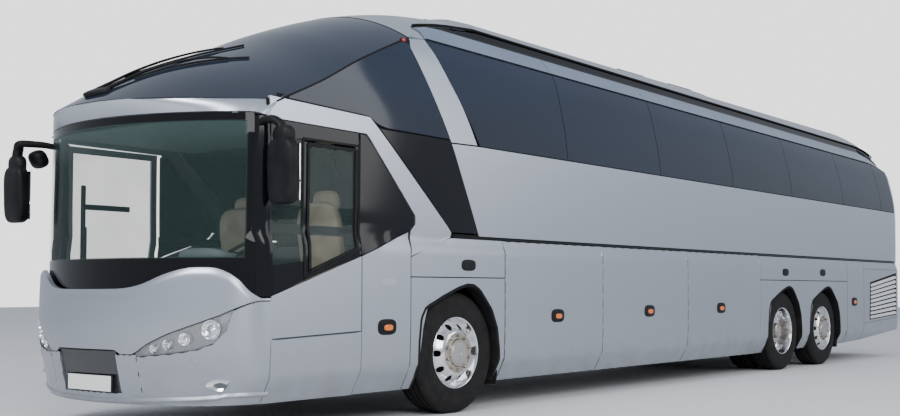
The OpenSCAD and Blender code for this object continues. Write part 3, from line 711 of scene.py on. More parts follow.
dash_plastic = toned("soft dash plastic", (0.075, 0.1, 0.105), 0.55,
                     tones=((5.0, 3.0), None, (0.1, 0.13, 0.135), (0.15, 0.19, 0.195)),
                     grain=("cells", (500.0,), 0.3, 0.0005))
cream_leather = toned("cream leather", (0.62, 0.54, 0.38), 0.48,
                      tones=((8.0, 5.0), (0.3, 0.8), (0.68, 0.6, 0.44), (0.5, 0.42, 0.28)),
                      worn=(0.42, (30.0, 3.0), 0.15),
                      grain=("cells", (260.0,), 0.35, 0.0006))


@finish
def woven_seat():
    f = Finish("woven seat cloth", (0.055, 0.065, 0.09), 0.9)
    weave = f.wave(90.0, direction="X") * f.wave(90.0, direction="Z")
    f.put("Base Color", f.blend(weave, (0.045, 0.052, 0.075), (0.1, 0.115, 0.15)))
    f.put("Roughness", 0.82 + f.noise(40.0) * 0.12)
    return f.bump(weave, 0.4, 0.0008)


@finish
def chassis_black():
    f = Finish("satin chassis black", (0.018, 0.018, 0.018), 0.6)
    sooty(f, (0.014, 0.014, 0.015), (0.07, 0.062, 0.052))
    f.put("Roughness", 0.5 + f.noise(15.0, 4.0) * 0.3)
    return f.bump(f.noise(60.0, 4.0), 0.2, 0.001)


step_floor = toned("studded floor", (0.11, 0.115, 0.12), 0.6,
                   tones=((3.0, 5.0), None, (0.08, 0.082, 0.086), (0.15, 0.152, 0.155)),
                   grain=("cells", (45.0,), 0.4, 0.002))
cast_iron = toned("cast engine block", (0.13, 0.135, 0.14), 0.55, 0.6,
                  tones=((9.0, 6.0), (0.35, 0.75), (0.09, 0.095, 0.1), (0.19, 0.175, 0.155)),
                  grain=("noise", (80.0, 5.0), 0.5, 0.002))
machined_steel = toned("machined steel", (0.42, 0.42, 0.43), 0.35, 1.0,
                       tones=((20.0, 5.0), None, (0.34, 0.33, 0.32), (0.52, 0.52, 0.53)),
                       worn=(0.28, (50.0, 3.0), 0.2))
studio_floor = toned("pale studio floor", (0.8, 0.8, 0.81), 0.65,
                     tones=((0.5, 3.0), None, (0.78, 0.78, 0.79), (0.83, 0.83, 0.84)))


# ---------------------------------------------------------------- settings

class CoachSizes(bpy.types.PropertyGroup):
    skin: FloatProperty(name="Skin thickness", description="Thickness of the outer panels", default=0.02, min=0.005, max=0.04,
        unit="LENGTH")
    seam: FloatProperty(name="Seam", description="Half the dark gap between two panels", default=0.0045, min=0.002, max=0.01,
        unit="LENGTH")
    pane_gap: FloatProperty(name="Pane gap", description="Half the gap between two glass panes", default=0.005, min=0.002,
        max=0.02, unit="LENGTH")
    edge: FloatProperty(name="Edge rounding", description="Width of the rounded panel edges", default=0.004, min=0.001, max=0.01,
        unit="LENGTH")
    hand_holes: IntProperty(name="Hand holes", description="Round holes in each wheel disc", default=10, min=5, max=12)
    nuts: IntProperty(name="Wheel nuts", description="Nuts on each wheel", default=10, min=6, max=12)
    slats: IntProperty(name="Grille slats", description="Slats in each engine grille", default=9, min=6, max=20)


class CoachColours(bpy.types.PropertyGroup):
    paint: FloatVectorProperty(name="Paint", description="Body paint", subtype="COLOR", default=(0.45, 0.485, 0.545), min=0, max=1)


def sizes():
    return bpy.context.scene.coach_sizes


class Maker:
    """What every piece maker shares: it runs without undo and reports nothing."""
    bl_options = {"INTERNAL"}


# ---------------------------------------------------------------- side outlines (station, height)

# Lower edge of the skirt
SKIRT = [(-2.1, 0.235), (5.8, 0.24), (8.9, 0.262), (9.8, 0.3), (11.4, 0.43)]
# Bottom line of the cab glass, and the pane behind it to its rounded tip
CAB_LOW = [(-2.092, 0.99), (-1.19, 1.29), (-0.7, 1.468), (-0.62, 1.503), (-0.572, 1.545), (-0.556, 1.6)]
PANE_SEAMS = [1.664, 3.478, 5.26, 7.021, 8.88, 10.504]
FLAP_SEAMS = [0.625, 2.25, 4.04, 5.95]
BELT, SILL, FLAP_TOP = 1.478, 2.268, 1.455


def skirt(y):
    return float(np.interp(y, *np.array(SKIRT).T))


def arch_line(axle, rear):
    """Wheel arch as (station, height): upright front, raked shoulder, round crown and a slanting back."""
    return [(axle - 0.515, skirt(axle - 0.52)), (axle - 0.515, 0.62), (axle - 0.495, 0.8), (axle - 0.44, 0.885),
            (axle - 0.22, 0.975), (axle - 0.02, 1.045), (axle + 0.1, 1.072), (axle + 0.19, 1.065), (axle + 0.27, 1.025),
            (axle + rear - 0.13, 0.86), (axle + rear - 0.05, 0.7), (axle + rear - 0.01, 0.5), (axle + rear, skirt(axle + rear))]


ARCHES = [(0.0, 0.56), (S2, 0.56), (S3, 0.6)]


def rect(y0, y1, z0, z1, side, push=0.0, thick=0.02, nu=2, nv=12):
    return side_sheet(side, [(y0, z0), (y0, z1)], [(y1, z0), (y1, z1)], nv, max(2, nu), push, thick)


def over_arch(side, y0, y1, top, arch, nu=44, push=0.0, thick=0.02):
    """Panel between its top edge and the bottom edge that runs round a wheel arch."""
    low = [(y0, skirt(y0))] + [p for p in arch] + [(y1, skirt(y1))]
    low = np.array(low, float)
    t = np.concatenate([[0], np.cumsum(np.linalg.norm(np.diff(low, axis=0), axis=1))])
    # top points stand over the bottom ones, spread evenly where the arch is upright
    tops = np.stack([np.interp(t, [0, t[1], t[-2], t[-1]], [y0, y0 + (low[1, 0] - y0) * 0.9, y1 - (y1 - low[-2, 0]) * 0.9, y1]),
                     np.full(len(t), top)], 1)
    a = np.stack([np.interp(np.linspace(0, t[-1], nu), t, low[:, k]) for k in (0, 1)], 1)
    keep = np.unique(np.concatenate([np.linspace(0, t[-1], nu), t]))
    a = np.stack([np.interp(keep, t, low[:, k]) for k in (0, 1)], 1)
    b = np.stack([np.interp(keep, t, tops[:, k]) for k in (0, 1)], 1)
    v = np.linspace(0, 1, 10)[None, :, None]
    yz = a[:, None] * (1 - v) + b[:, None] * v
    w = half_width(yz[..., 0], yz[..., 1])
    out = np.stack([side * (w + push), yz[..., 0], yz[..., 1]], -1)
    ins = out - np.array([side * thick, 0, 0])
    return slab(at_station(out), at_station(ins))


def arch_lip(side, arch, reach=0.11, push=0.0):
    """Folded lip round the arch: the arch line swept inwards."""
    a = resample(arch, 60)
    w = half_width(a[:, 0], a[:, 1])
    d = np.gradient(a, axis=0)
    d /= np.linalg.norm(d, axis=1, keepdims=True)
    nrm = np.stack([d[:, 1], -d[:, 0]], 1)
    rings = []
    for off, dx in ((-0.012, -0.001), (0.004, 0.006), (0.012, -0.002), (0.012, -reach)):
        q = a + nrm * off
        rings.append(np.stack([side * (w + dx + push), q[:, 0], q[:, 1]], -1))
    out = np.stack(rings, 1)
    ins = out + np.stack([np.full(60, 0), -nrm[:, 0], -nrm[:, 1]], 1)[:, None] * 0.006
    return slab(at_station(out), at_station(ins))


# ---------------------------------------------------------------- makers: side skins

def side_panels(side):
    """Fixed painted panels of one side as (verts, faces) parts."""
    s = sizes()
    g, t = s.seam, s.skin
    parts = []
    left = side > 0
    y1, y2 = -0.628, FLAP_SEAMS[0]
    if left:
        # under the driver's glass, over the storage flap
        ya = -2.1 + g
        low = [(ya, 0.69), (-1.19 - g, 0.722)]
        top = [(ya, 0.985), (-1.19 - g, 1.285)]
        parts.append(side_sheet(side, low, top, 14, 8, 0, t))
    # between the cab and the front fender, and the band that climbs to the roof
    low = [(-1.19 + g, skirt(-1.19)), (y1 - g, skirt(y1))]
    top = [(-1.19 + g, 1.286), (y1 - g, 1.49)]
    parts.append(side_sheet(side, low, top, 14, 30, 0, t))
    # fender: lower part round the arch, flap over it
    fold = 1.135
    parts.append(over_arch(side, y1 + g, y2 - g, fold - g, arch_line(*ARCHES[0]), thick=t))
    top = [(y1 + g, 1.292), (-0.36, 1.395), (-0.1, 1.462), (0.28, 1.462), (y2 - g, 1.462)]
    low = [(y1 + g, fold + g), (-0.36, fold + g), (-0.1, fold + g), (0.28, fold + g), (y2 - g, fold + g)]
    parts.append(side_sheet(side, low, top, 26, 10, 0, t))
    # boomerang band from the visor over the cab glass and down to the belt
    top_in = [(-2.092, 2.243), (-1.118, 2.23), (-0.547, 1.625), (-0.545, 1.56), (-0.6, 1.5), (y1 + g, 1.478)]
    top_out = [(-2.092, 2.398), (-1.075, 2.362), (-0.985, 2.285), (-0.5, 1.868), (-0.085, 1.505), (-0.36, 1.408)]
    parts.append(side_sheet(side, top_in[:2], top_out[:2], 20, 6, 0, t))
    parts.append(side_sheet(side, [(-1.118, 2.23), (-1.075, 2.362)], [(-1.09, 2.205), (-0.99, 2.29)], 6, 4, 0, t))
    parts.append(side_sheet(side, [(-1.09, 2.205), (-0.99, 2.29)], [(-0.547, 1.625), (-0.235, 1.64)], 6, 24, 0, t))
    parts.append(side_sheet(side, [(-0.547, 1.625), (-0.235, 1.64)], [(-0.545, 1.56), (-0.14, 1.558)], 6, 4, 0, t))
    parts.append(side_sheet(side, [(-0.545, 1.56), (-0.14, 1.558)], [(-0.6, 1.505), (-0.09, 1.51)], 6, 4, 0, t))
    parts.append(side_sheet(side, [(-0.6, 1.505), (-0.09, 1.51)], [(y1 + g, 1.302), (-0.105, 1.468)], 6, 8, 0, t))
    # pillar behind the wedge, running into the long middle panel
    parts.append(side_sheet(side, [(-0.085, 2.255), (0.288, 1.492)], [(0.262, SILL - g), (0.6, 1.492)], 14, 10, 0, t))
    if left:
        parts.append(side_sheet(side, [(0.262, SILL - g), (0.6, 1.492)], [(TAIL - 0.09, SILL - g), (TAIL - 0.09, 1.492)], 14, 60,
            0, t))
    else:
        wa, wb = WC + 0.006, WC + 0.866
        parts.append(side_sheet(side, [(0.262, SILL - g), (0.6, 1.492)], [(wa, SILL - g), (wa, 1.492)], 14, 40, 0, t))
        parts.append(rect(wa, wb, 2.148, SILL - g, side, 0, t, 8, 4))
        parts.append(rect(wb, TAIL - 0.09, 1.492, SILL - g, side, 0, t, 40, 12))
    # upper pillar between quarter glass and first pane
    edge_f = [(-0.455, 3.02), (-0.345, 2.8), (-0.205, 2.5), (-0.092, 2.268)]
    edge_r = [(-0.23, 3.125), (-0.085, 2.93), (0.1, 2.6), (0.258, 2.276)]
    parts.append(side_sheet(side, edge_f, edge_r, 22, 6, 0, t))
    parts.append(side_sheet(side, [(-0.455, 3.02), (-0.445, 3.105)], [(-0.235, 3.12), (-0.23, 3.128)], 3, 4, 0, t))
    # behind the last luggage flap: fender over both rear wheels
    ya, yb, fold = (FLAP_SEAMS[3] if left else WC + 0.868), 8.93, 1.158
    mid = (S2 + S3) / 2
    parts.append(over_arch(side, ya + g, mid - 0.0005, fold - g, arch_line(*ARCHES[1]), thick=t))
    parts.append(over_arch(side, mid + 0.0005, yb - g, fold - g, arch_line(*ARCHES[2]), thick=t))
    parts.append(rect(ya + g, yb - g, fold + g, 1.457, side, 0, t, 30, 8))
    # small service door, then the frame round the engine door
    parts.append(side_sheet(side, [(yb + g, skirt(yb)), (9.61 - g, skirt(9.61))], [(yb + g, 1.457), (9.61 - g, 1.457)], 6, 26, 0,
        t))
    ye = TAIL - 0.15
    parts.append(side_sheet(side, [(9.61 + g, skirt(9.61)), (ye, skirt(ye))], [(9.61 + g, 0.535), (ye, 0.6)], 14, 8, 0, t))
    parts.append(side_sheet(side, [(9.61 + g, 1.352), (ye, 1.352)], [(9.61 + g, 1.457), (ye, 1.457)], 14, 6, 0, t))
    parts.append(side_sheet(side, [(ye, skirt(ye)), (ye, 1.457)], [(TAIL - 0.09, skirt(ye)), (TAIL - 0.09, 1.457)], 20, 4, 0, t))
    if not left:
        # fixed panel between the luggage flaps and the middle door
        parts.append(rect(FLAP_SEAMS[2] + g, WC - g, skirt(4.5), 1.457, side, 0, t, 14, 26))
    return parts


WC = S2 - 0.77 - 0.9


class SidePanels(Maker, bpy.types.Operator):
    """Painted fixed panels of both sides"""
    bl_idname = "coach.side_panels"
    bl_label = "Side panels"

    def execute(self, context):
        for side, name in ((1, "left"), (-1, "right")):
            v, f = merge(side_panels(side))
            obj = finish_mesh(f"{name}_side_panels", v, f, BODY, silver_paint(), "paint")
            bevelled(obj, sizes().edge)
            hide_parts(f"{name}_wall")
            lips = merge([arch_lip(side, arch_line(a, r)) for a, r in ARCHES])
            finish_mesh(f"{name}_arch_lips", *lips, BODY, rubber(), "black_plastic")
            # dark sheets behind the seams, in the shape of the body structure
            g = []
            posts = [-0.628, FLAP_SEAMS[0], 8.93, 9.61, TAIL - 0.15] + ([-2.1, -1.19, FLAP_SEAMS[3]] if side > 0 else [])
            for y in posts:
                g.append(rect(y - 0.03, y + 0.03, skirt(y) + 0.03, 1.45, side, -0.0225, 0.012, 2, 20))
            for y in FLAP_SEAMS[1:3]:
                g.append(rect(y - 0.03, y + 0.03, 0.36, 1.45, side, -0.0625, 0.02, 2, 20))
            free = [(-2.1, TAIL - 0.1)] if side > 0 else [(-1.17, WC - 0.004), (WC + 0.874, TAIL - 0.1)]
            g += [rect(a, b, 1.43, 1.5, side, -0.01, 0.012, 60, 5) for a, b in free]
            g.append(rect(-0.628, FLAP_SEAMS[0], 1.115, 1.155, side, -0.0225, 0.012, 8, 3))
            g.append(rect(FLAP_SEAMS[3] + 0.01, 8.93, 1.138, 1.178, side, -0.0225, 0.012, 20, 3))
            if side > 0:
                g.append(side_sheet(side, [(-2.1, 0.66), (-1.19, 0.69)], [(-2.1, 0.72), (-1.19, 0.75)], 8, 3, -0.0445, 0.012))
            finish_mesh(f"{name}_seam_backs", *merge(g), BODY, rubber(), "black_plastic")
            # belt moulding: a slim bright-edged dark strip over the chamfer
            strip = [rect(max(a, -0.06), b, 1.466, 1.482, side, 0.001, 0.014, 60, 3) for a, b in free]
            finish_mesh(f"{name}_belt_moulding", *merge(strip), BODY, black_gloss(), "black_plastic")
            # inside of the wall below the windows, seen through the glass
            lin = [rect(max(a, 0.35), b - 0.02, 1.5, 2.262, side, -0.05, 0.012, 40, 6) for a, b in free]
            finish_mesh(f"{name}_inner_trim", *merge(lin), BODY, woven_seat(), "seat_fabric")
        return {"FINISHED"}


def pane_top(y):
    return float(min(knee(y), roof(1.066, y))) - 0.006


class SideGlass(Maker, bpy.types.Operator):
    """Tinted passenger panes, wedge and quarter panes, and the cab's side glass"""
    bl_idname = "coach.side_glass"
    bl_label = "Side glass"

    def execute(self, context):
        p = sizes().pane_gap
        t = 0.012
        for side, name in ((1, "left"), (-1, "right")):
            parts = []
            edges = [0.265] + PANE_SEAMS + [TAIL - 0.1]
            for i in range(len(edges) - 1):
                y0 = edges[i] + p
                y1 = edges[i + 1] - p
                top = [(y, pane_top(y)) for y in np.linspace(y0, y1, 8)]
                low = [(y, SILL + p) for y in np.linspace(y0, y1, 8)]
                if i == 0:
                    top = [(y, pane_top(y)) for y in np.linspace(-0.215, y1, 8)]
                    low = [(y, SILL + p) for y in np.linspace(0.3, y1, 8)]
                parts.append(side_sheet(side, low, top, 24, 16, 0.0015, t))
            # quarter pane up to the screen's edge and the black wedge below it
            ys = np.linspace(-1.985, -0.47, 20)
            zs = np.full(20, 2.5)
            for _ in range(30):
                zs = 0.5 * zs + 0.5 * (brow(half_width(ys, zs) - 0.004, ys) - 0.012)
            low = resample([(-1.985, 2.406), (-1.075, 2.372), (-0.968, 2.3), (-0.11, 2.292)], 20)
            rear = resample([(-0.47, 3.015), (-0.355, 2.8), (-0.215, 2.5), (-0.11, 2.292)], 20)
            top = np.stack([ys, zs], 1)
            low2 = resample(low, 28)
            top2 = resample(np.concatenate([top, rear[1:]]), 28)
            parts.append(side_sheet(side, low2, top2, 28, 14, 0.0015, t))
            glass = finish_mesh(f"{name}_tinted_panes", *merge(parts), BODY, tinted_glass(), "tinted_glass")
            bevelled(glass, 0.002, 1)
            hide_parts(f"{name}_windows")
            wedge = side_sheet(side, [(-0.962, 2.283), (-0.105, 2.277)], [(-0.075, 1.515), (0.272, 1.515)], 10, 26, 0.0015, t)
            w = finish_mesh(f"{name}_wedge_pane", *wedge, BODY, black_gloss(), "tinted_glass")
            bevelled(w, 0.002, 1)
            back = [rect(0.0, TAIL - 0.12, SILL - 0.04, SILL + 0.05, side, -0.016, 0.012, 40, 3)]
            for y in PANE_SEAMS:
                back.append(rect(y - 0.03, y + 0.03, SILL, float(knee(y)) - 0.01, side, -0.016, 0.02, 2, 14))
            back.append(side_sheet(side, [(-2.0, 2.37), (-1.05, 2.33), (-0.95, 2.27), (-0.1, 2.25)],
                                   [(-2.0, 2.43), (-1.04, 2.4), (-0.94, 2.33), (-0.1, 2.33)], 30, 3, -0.016, 0.012))
            back.append(side_sheet(side, [(-0.49, 3.0), (-0.13, 2.25), (0.25, 1.5)], [(-0.43, 3.04), (-0.07, 2.29), (0.31, 1.5)],
                30, 3, -0.022, 0.012))
            back.append(side_sheet(side, [(-0.25, 3.1), (0.24, 2.25)], [(-0.18, 3.1), (0.31, 2.25)], 30, 3, -0.022, 0.012))
            back.append(side_sheet(side, [(-1.0, 2.31), (-0.1, 1.5)], [(-0.94, 2.31), (-0.04, 1.5)], 20, 3, -0.022, 0.012))
            finish_mesh(f"{name}_glass_backs", *merge(back), BODY, rubber(), "black_plastic")
        # cab side glass on the left: dark panel with the driver's sliding window
        t = 0.012
        dark = []
        win_l, win_r, win_t = -1.735, -1.245, 2.085
        low = lambda y: float(np.interp(y, *np.array(CAB_LOW).T)) + 0.006
        win_low = lambda y: 1.172 + (y + 1.72) * 0.37
        # strip under the windows, strip between, the strip above and the blind pane behind
        dark.append(side_sheet(1, [(-2.09, low(-2.09)), (-1.755, low(-1.755))], [(-2.09, 1.2), (-1.755, 1.24)], 6, 4, 0.0015, t))
        dark.append(side_sheet(1, [(-1.755, low(-1.755)), (-1.215, low(-1.215))],
            [(-1.755, win_low(-1.755)), (-1.215, win_low(-1.215))], 8, 4, 0.0015, t))
        dark.append(rect(-1.785, win_l, 1.24, 2.1, 1, 0.0015, t, 3, 14))
        dark.append(side_sheet(1, [(-2.09, 2.12), (-1.215, 2.115)], [(-2.09, 2.232), (-1.215, 2.222)], 10, 4, 0.0015, t))
        dark.append(rect(win_r, -1.2, 1.3, 2.12, 1, 0.0015, t, 3, 14))
        low_p = [(-1.19, low(-1.19)), (-0.7, low(-0.7)), (-0.62, 1.509), (-0.576, 1.548), (-0.561, 1.6)]
        top_p = [(-1.19, 2.217), (-1.13, 2.216), (-0.8, 1.868), (-0.566, 1.622), (-0.561, 1.6)]
        dark.append(side_sheet(1, low_p, top_p, 20, 12, 0.0015, t))
        d = finish_mesh("driver_glass_border", *merge(dark), BODY, black_gloss(), "tinted_glass")
        bevelled(d, 0.002, 1)
        clear = [side_sheet(1, [(-2.088, 1.2), (-1.785, 1.24)], [(-2.088, 2.12), (-1.785, 2.118)], 4, 12, 0.0005, 0.006),
                 side_sheet(1, [(win_l, win_low(win_l)), (win_r, win_low(win_r))], [(win_l, 2.1), (win_r, 2.1)], 6, 12, -0.003,
                     0.006)]
        finish_mesh("driver_clear_panes", *merge(clear), BODY, clear_side(), "clear_glass")
        # raised frame round the sliding window
        def bar(p, q, w=0.022, h=0.008):
            p, q = np.array(p, float), np.array(q, float)
            d = (q - p) / np.linalg.norm(q - p)
            n = np.array([-d[1], d[0]]) * w / 2
            return side_sheet(1, [p - n, q - n], [p + n, q + n], 10, 3, h, h + 0.008)
        c = [(-1.735, 1.165), (-1.735, 2.09), (-1.24, 2.09), (-1.24, 1.345)]
        frame_bars = [bar(c[0], c[1]), bar(c[1], c[2]), bar(c[2], c[3]), bar(c[3], c[0])]
        c2 = [(-1.785, 1.115), (-1.785, 2.125), (-1.205, 2.125), (-1.205, 1.335)]
        frame_bars += [bar(c2[0], c2[1], 0.014, 0.005), bar(c2[1], c2[2], 0.014, 0.005), bar(c2[2], c2[3], 0.014, 0.005),
            bar(c2[3], c2[0], 0.014, 0.005)]
        fb = finish_mesh("driver_window_frame", *merge(frame_bars), BODY, moulded_black(), "black_plastic")
        bevelled(fb, 0.002, 2)
        # the right side behind the front door
        dark = [side_sheet(-1, [(-1.15, 1.31)] + CAB_LOW[2:], [(-1.15, 2.217), (-1.12, 2.21), (-0.566, 1.622), (-0.561, 1.6)], 20,
            12, 0.0015, t)]
        dark.append(side_sheet(-1, [(-1.15, 2.185), (-1.125, 2.18), (-0.6, 1.6), (-0.59, 1.56)],
                               [(-1.15, 2.245), (-1.1, 2.24), (-0.535, 1.64), (-0.53, 1.56)], 24, 3, -0.022, 0.012))
        d = finish_mesh("right_blind_pane", *merge(dark), BODY, black_gloss(), "tinted_glass")
        bevelled(d, 0.002, 1)
        return {"FINISHED"}


# ---------------------------------------------------------------- makers: front

MASK_TOP = ([0.0, 0.2, 0.42, 0.55, 0.72, 0.88, 1.0, 1.1, 1.18, 1.225, 1.2585],
            [1.036, 1.037, 1.044, 1.07, 1.14, 1.183, 1.186, 1.16, 1.095, 1.02, 0.972])
LAMP_TOP = ([0.5, 0.6, 0.75, 0.95, 1.09, 1.17], [0.578, 0.645, 0.716, 0.792, 0.85, 0.893])
LAMP_LOW = ([0.5, 0.6, 0.8, 0.95, 1.06, 1.13, 1.17], [0.566, 0.575, 0.595, 0.622, 0.668, 0.75, 0.893])
SEAM_X, SEAM_Z = 0.52, 0.578


def nose_angles(x0, x1, n, z=0.9):
    """Plan angles at even steps of angle between two x."""
    return np.linspace(nose_angle(x0, z), nose_angle(x1, z), n)


def nose_x(theta, z=0.9):
    return np.abs(nose_point(np.asarray(theta, float), np.full(np.shape(theta), z), 0.0)[..., 0])


EDGE_A = math.radians(88.5)


class FrontMask(Maker, bpy.types.Operator):
    """Front mask with its crested upper edge, and the three-piece bumper"""
    bl_idname = "coach.front_mask"
    bl_label = "Front mask and bumper"

    def execute(self, context):
        s = sizes()
        g, t = s.seam, 0.03
        # mask: from the lamp's upper edge or the bumper seam to the crest
        th = np.linspace(-EDGE_A, EDGE_A, 121)
        x = nose_x(th)
        top = smooth(x, *MASK_TOP)
        low = np.where(x < 0.335, 0.612, np.where(x < 0.36, 0.612 - (x - 0.335) * 1.2, SEAM_Z + g))
        up = np.interp(x, LAMP_TOP[0] + [1.26], [v + 0.008 for v in LAMP_TOP[1]] + [0.958])
        low = np.where(x > SEAM_X + 0.005, np.maximum(low, up), low)
        top = np.maximum(top, low + 0.012)
        v = np.linspace(0, 1, 16)[None, :]
        z = low[:, None] * (1 - v) + top[:, None] * v
        tt = np.broadcast_to(th[:, None], z.shape)
        # the crest rolls inwards at its edge
        roll = np.clip((z - (top[:, None] - 0.05)) / 0.05, 0, 1) ** 2 * 0.022
        back = mask_setback(z) + roll
        v1, f1 = slab(at_station(nose_point(tt, z, back)), at_station(nose_point(tt, z, back, -t)))
        mask = finish_mesh("front_mask_skin", v1, f1, BODY, silver_paint(), "paint")
        bevelled(mask, 0.006, 3)
        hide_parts("front_mask")
        # bumper centre with a pocket for mesh and plate, and its two corners
        parts = []
        def bottom(xx):
            return np.interp(xx, [0.0, 0.5, 0.9, 1.15, 1.275], [0.226, 0.228, 0.232, 0.235, 0.237])
        def piece(x0, x1, z0, z1, n=14, nv=14):
            a = np.linspace(nose_angle(x0), nose_angle(x1), n)
            xx = nose_x(a)
            lo = z0(xx) if callable(z0) else np.full(n, z0)
            hi = z1(xx) if callable(z1) else np.full(n, z1)
            return nose_sheet(a, lo, hi, nv, mask_setback, 0.0, t)
        for sgn in (-1, 1):
            parts.append(piece(sgn * (SEAM_X - g), sgn * 0.345, bottom, SEAM_Z - g, 8))
            lo_a, hi_a = nose_angle(SEAM_X + g), EDGE_A
            a = sgn * np.linspace(lo_a, hi_a, 46)
            xx = nose_x(a)
            lamp = np.interp(xx, LAMP_LOW[0], [v - 0.008 for v in LAMP_LOW[1]])
            past = np.interp(xx, [1.17, 1.26], [0.884, 0.948])
            hi = np.where(xx < 1.165, lamp, past)
            parts.append(nose_sheet(a, bottom(xx), hi, 22, mask_setback, 0.0, t))
        parts.append(piece(-0.345, 0.345, bottom, 0.298, 20, 6))
        b = finish_mesh("front_bumper_skin", *merge(parts), BODY, silver_paint(), "paint")
        bevelled(b, 0.005, 2)
        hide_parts("front_bumper")
        # lip that stands out along the bottom
        a = np.linspace(-EDGE_A, EDGE_A, 90)
        xx = nose_x(a)
        z_mid = np.interp(xx, [0.0, 0.5, 0.9, 1.2], [0.248, 0.252, 0.272, 0.3])
        rings = []
        for dz, gr in ((-0.022, -0.01), (-0.012, 0.012), (0.0, 0.016), (0.012, 0.008), (0.026, -0.004)):
            zz = z_mid + dz
            rings.append(nose_point(a, zz, mask_setback(zz), gr))
        out = np.stack(rings, 1)
        ins = out.copy()
        ins[..., 1] += 0.02
        ins[..., 0] *= 0.985
        lip = finish_mesh("bumper_lip", *slab(at_station(out), at_station(ins)), BODY, silver_paint(), "paint")
        # pocket: dark back, fine mesh, plate holder and blank plate
        back = nose_sheet(nose_angles(-0.36, 0.36, 12), 0.28, 0.62, 6, mask_setback, -0.055, 0.01)
        finish_mesh("bumper_pocket_back", *back, BODY, deep_shadow(), "black_plastic")
        m = nose_sheet(nose_angles(-0.335, 0.335, 24), 0.436, 0.602, 8, mask_setback, -0.012, 0.012)
        finish_mesh("front_mesh_panel", *m, BODY, mesh_grille(), "black_plastic")
        c = nose_sheet(nose_angles(-0.343, 0.343, 20), 0.3, 0.432, 4, mask_setback, -0.04, 0.01)
        finish_mesh("plate_recess", *c, BODY, silver_paint(), "paint")
        y = -2.75 + float(mask_setback(np.array(0.365))) + 0.01
        holder = block((-0.275, A0 + y, 0.302), (0.275, A0 + y + 0.02, 0.43))
        h = finish_mesh("plate_holder", *holder, BODY, moulded_black(), "black_plastic")
        bevelled(h, 0.004, 2)
        plate = block((-0.26, A0 + y - 0.003, 0.311), (0.26, A0 + y - 0.0002, 0.421))
        q = finish_mesh("blank_front_plate", *plate, BODY, blank_plate(), "paint")
        bevelled(q, 0.001, 1)
        # seam backs behind mask and bumper
        sb = [nose_sheet(np.linspace(-EDGE_A, EDGE_A, 80), 0.24, 0.62, 8, mask_setback, -0.048, 0.008)]
        a = nose_angles(0.5, 1.265, 24)
        for sgn in (-1, 1):
            sb.append(nose_sheet(sgn * a, np.full(24, 0.6), np.full(24, 1.0), 8, mask_setback, -0.155, 0.008))
        finish_mesh("front_inner_backing", *merge(sb), BODY, deep_shadow(), "black_plastic")
        # corner seam posts at the joint with the side
        posts = [rect(-2.125, -2.085, 0.26, 0.98, sd, -0.018, 0.012, 2, 20) for sd in (-1, 1)]
        finish_mesh("corner_seam_backs", *merge(posts), BODY, rubber(), "black_plastic")
        # fog lamps: oval bezel, bowl and bulb glass; round caps over the towing eye
        fog, glassy, caps = [], [], []
        for sgn in (-1, 1):
            a0 = nose_angle(1.06, 0.37)
            u = np.linspace(0, 2 * np.pi, 40)
            for r0, r1, gr0, gr1, bag in ((1.0, 0.88, 0.002, 0.016, fog), (0.88, 0.45, 0.016, 0.003, fog),
                (0.4, 0.05, 0.004, 0.009, glassy)):
                k = np.linspace(0, 1, 4)[None, :]
                r = r0 * (1 - k) + r1 * k
                gr = gr0 * (1 - k) + gr1 * k
                ang = sgn * (a0 + np.cos(u)[:, None] * r * 0.06)
                zz = 0.372 + np.sin(u)[:, None] * r * 0.042
                out = nose_point(ang, zz, mask_setback(zz), gr)
                ins = nose_point(ang, zz, mask_setback(zz), gr - 0.006)
                bag.append(slab(at_station(out), at_station(ins)))
            a1 = nose_angle(0.93, 0.57)
            k = np.linspace(0.02, 1, 5)[None, :]
            ang = sgn * (a1 + np.cos(u)[:, None] * k * 0.019)
            zz = 0.545 + np.sin(u)[:, None] * k * 0.033
            gr = 0.006 - 0.004 * k**4
            caps.append(slab(at_station(nose_point(ang, zz, mask_setback(zz), gr)),
                at_station(nose_point(ang, zz, mask_setback(zz), gr - 0.008))))
        finish_mesh("fog_lamp_bowls", *merge(fog), BODY, reflector(), "lamp")
        finish_mesh("fog_lamp_glasses", *merge(glassy), BODY, lens("smoke"), "lamp")
        finish_mesh("tow_eye_caps", *merge(caps), BODY, silver_paint(), "paint")
        return {"FINISHED"}


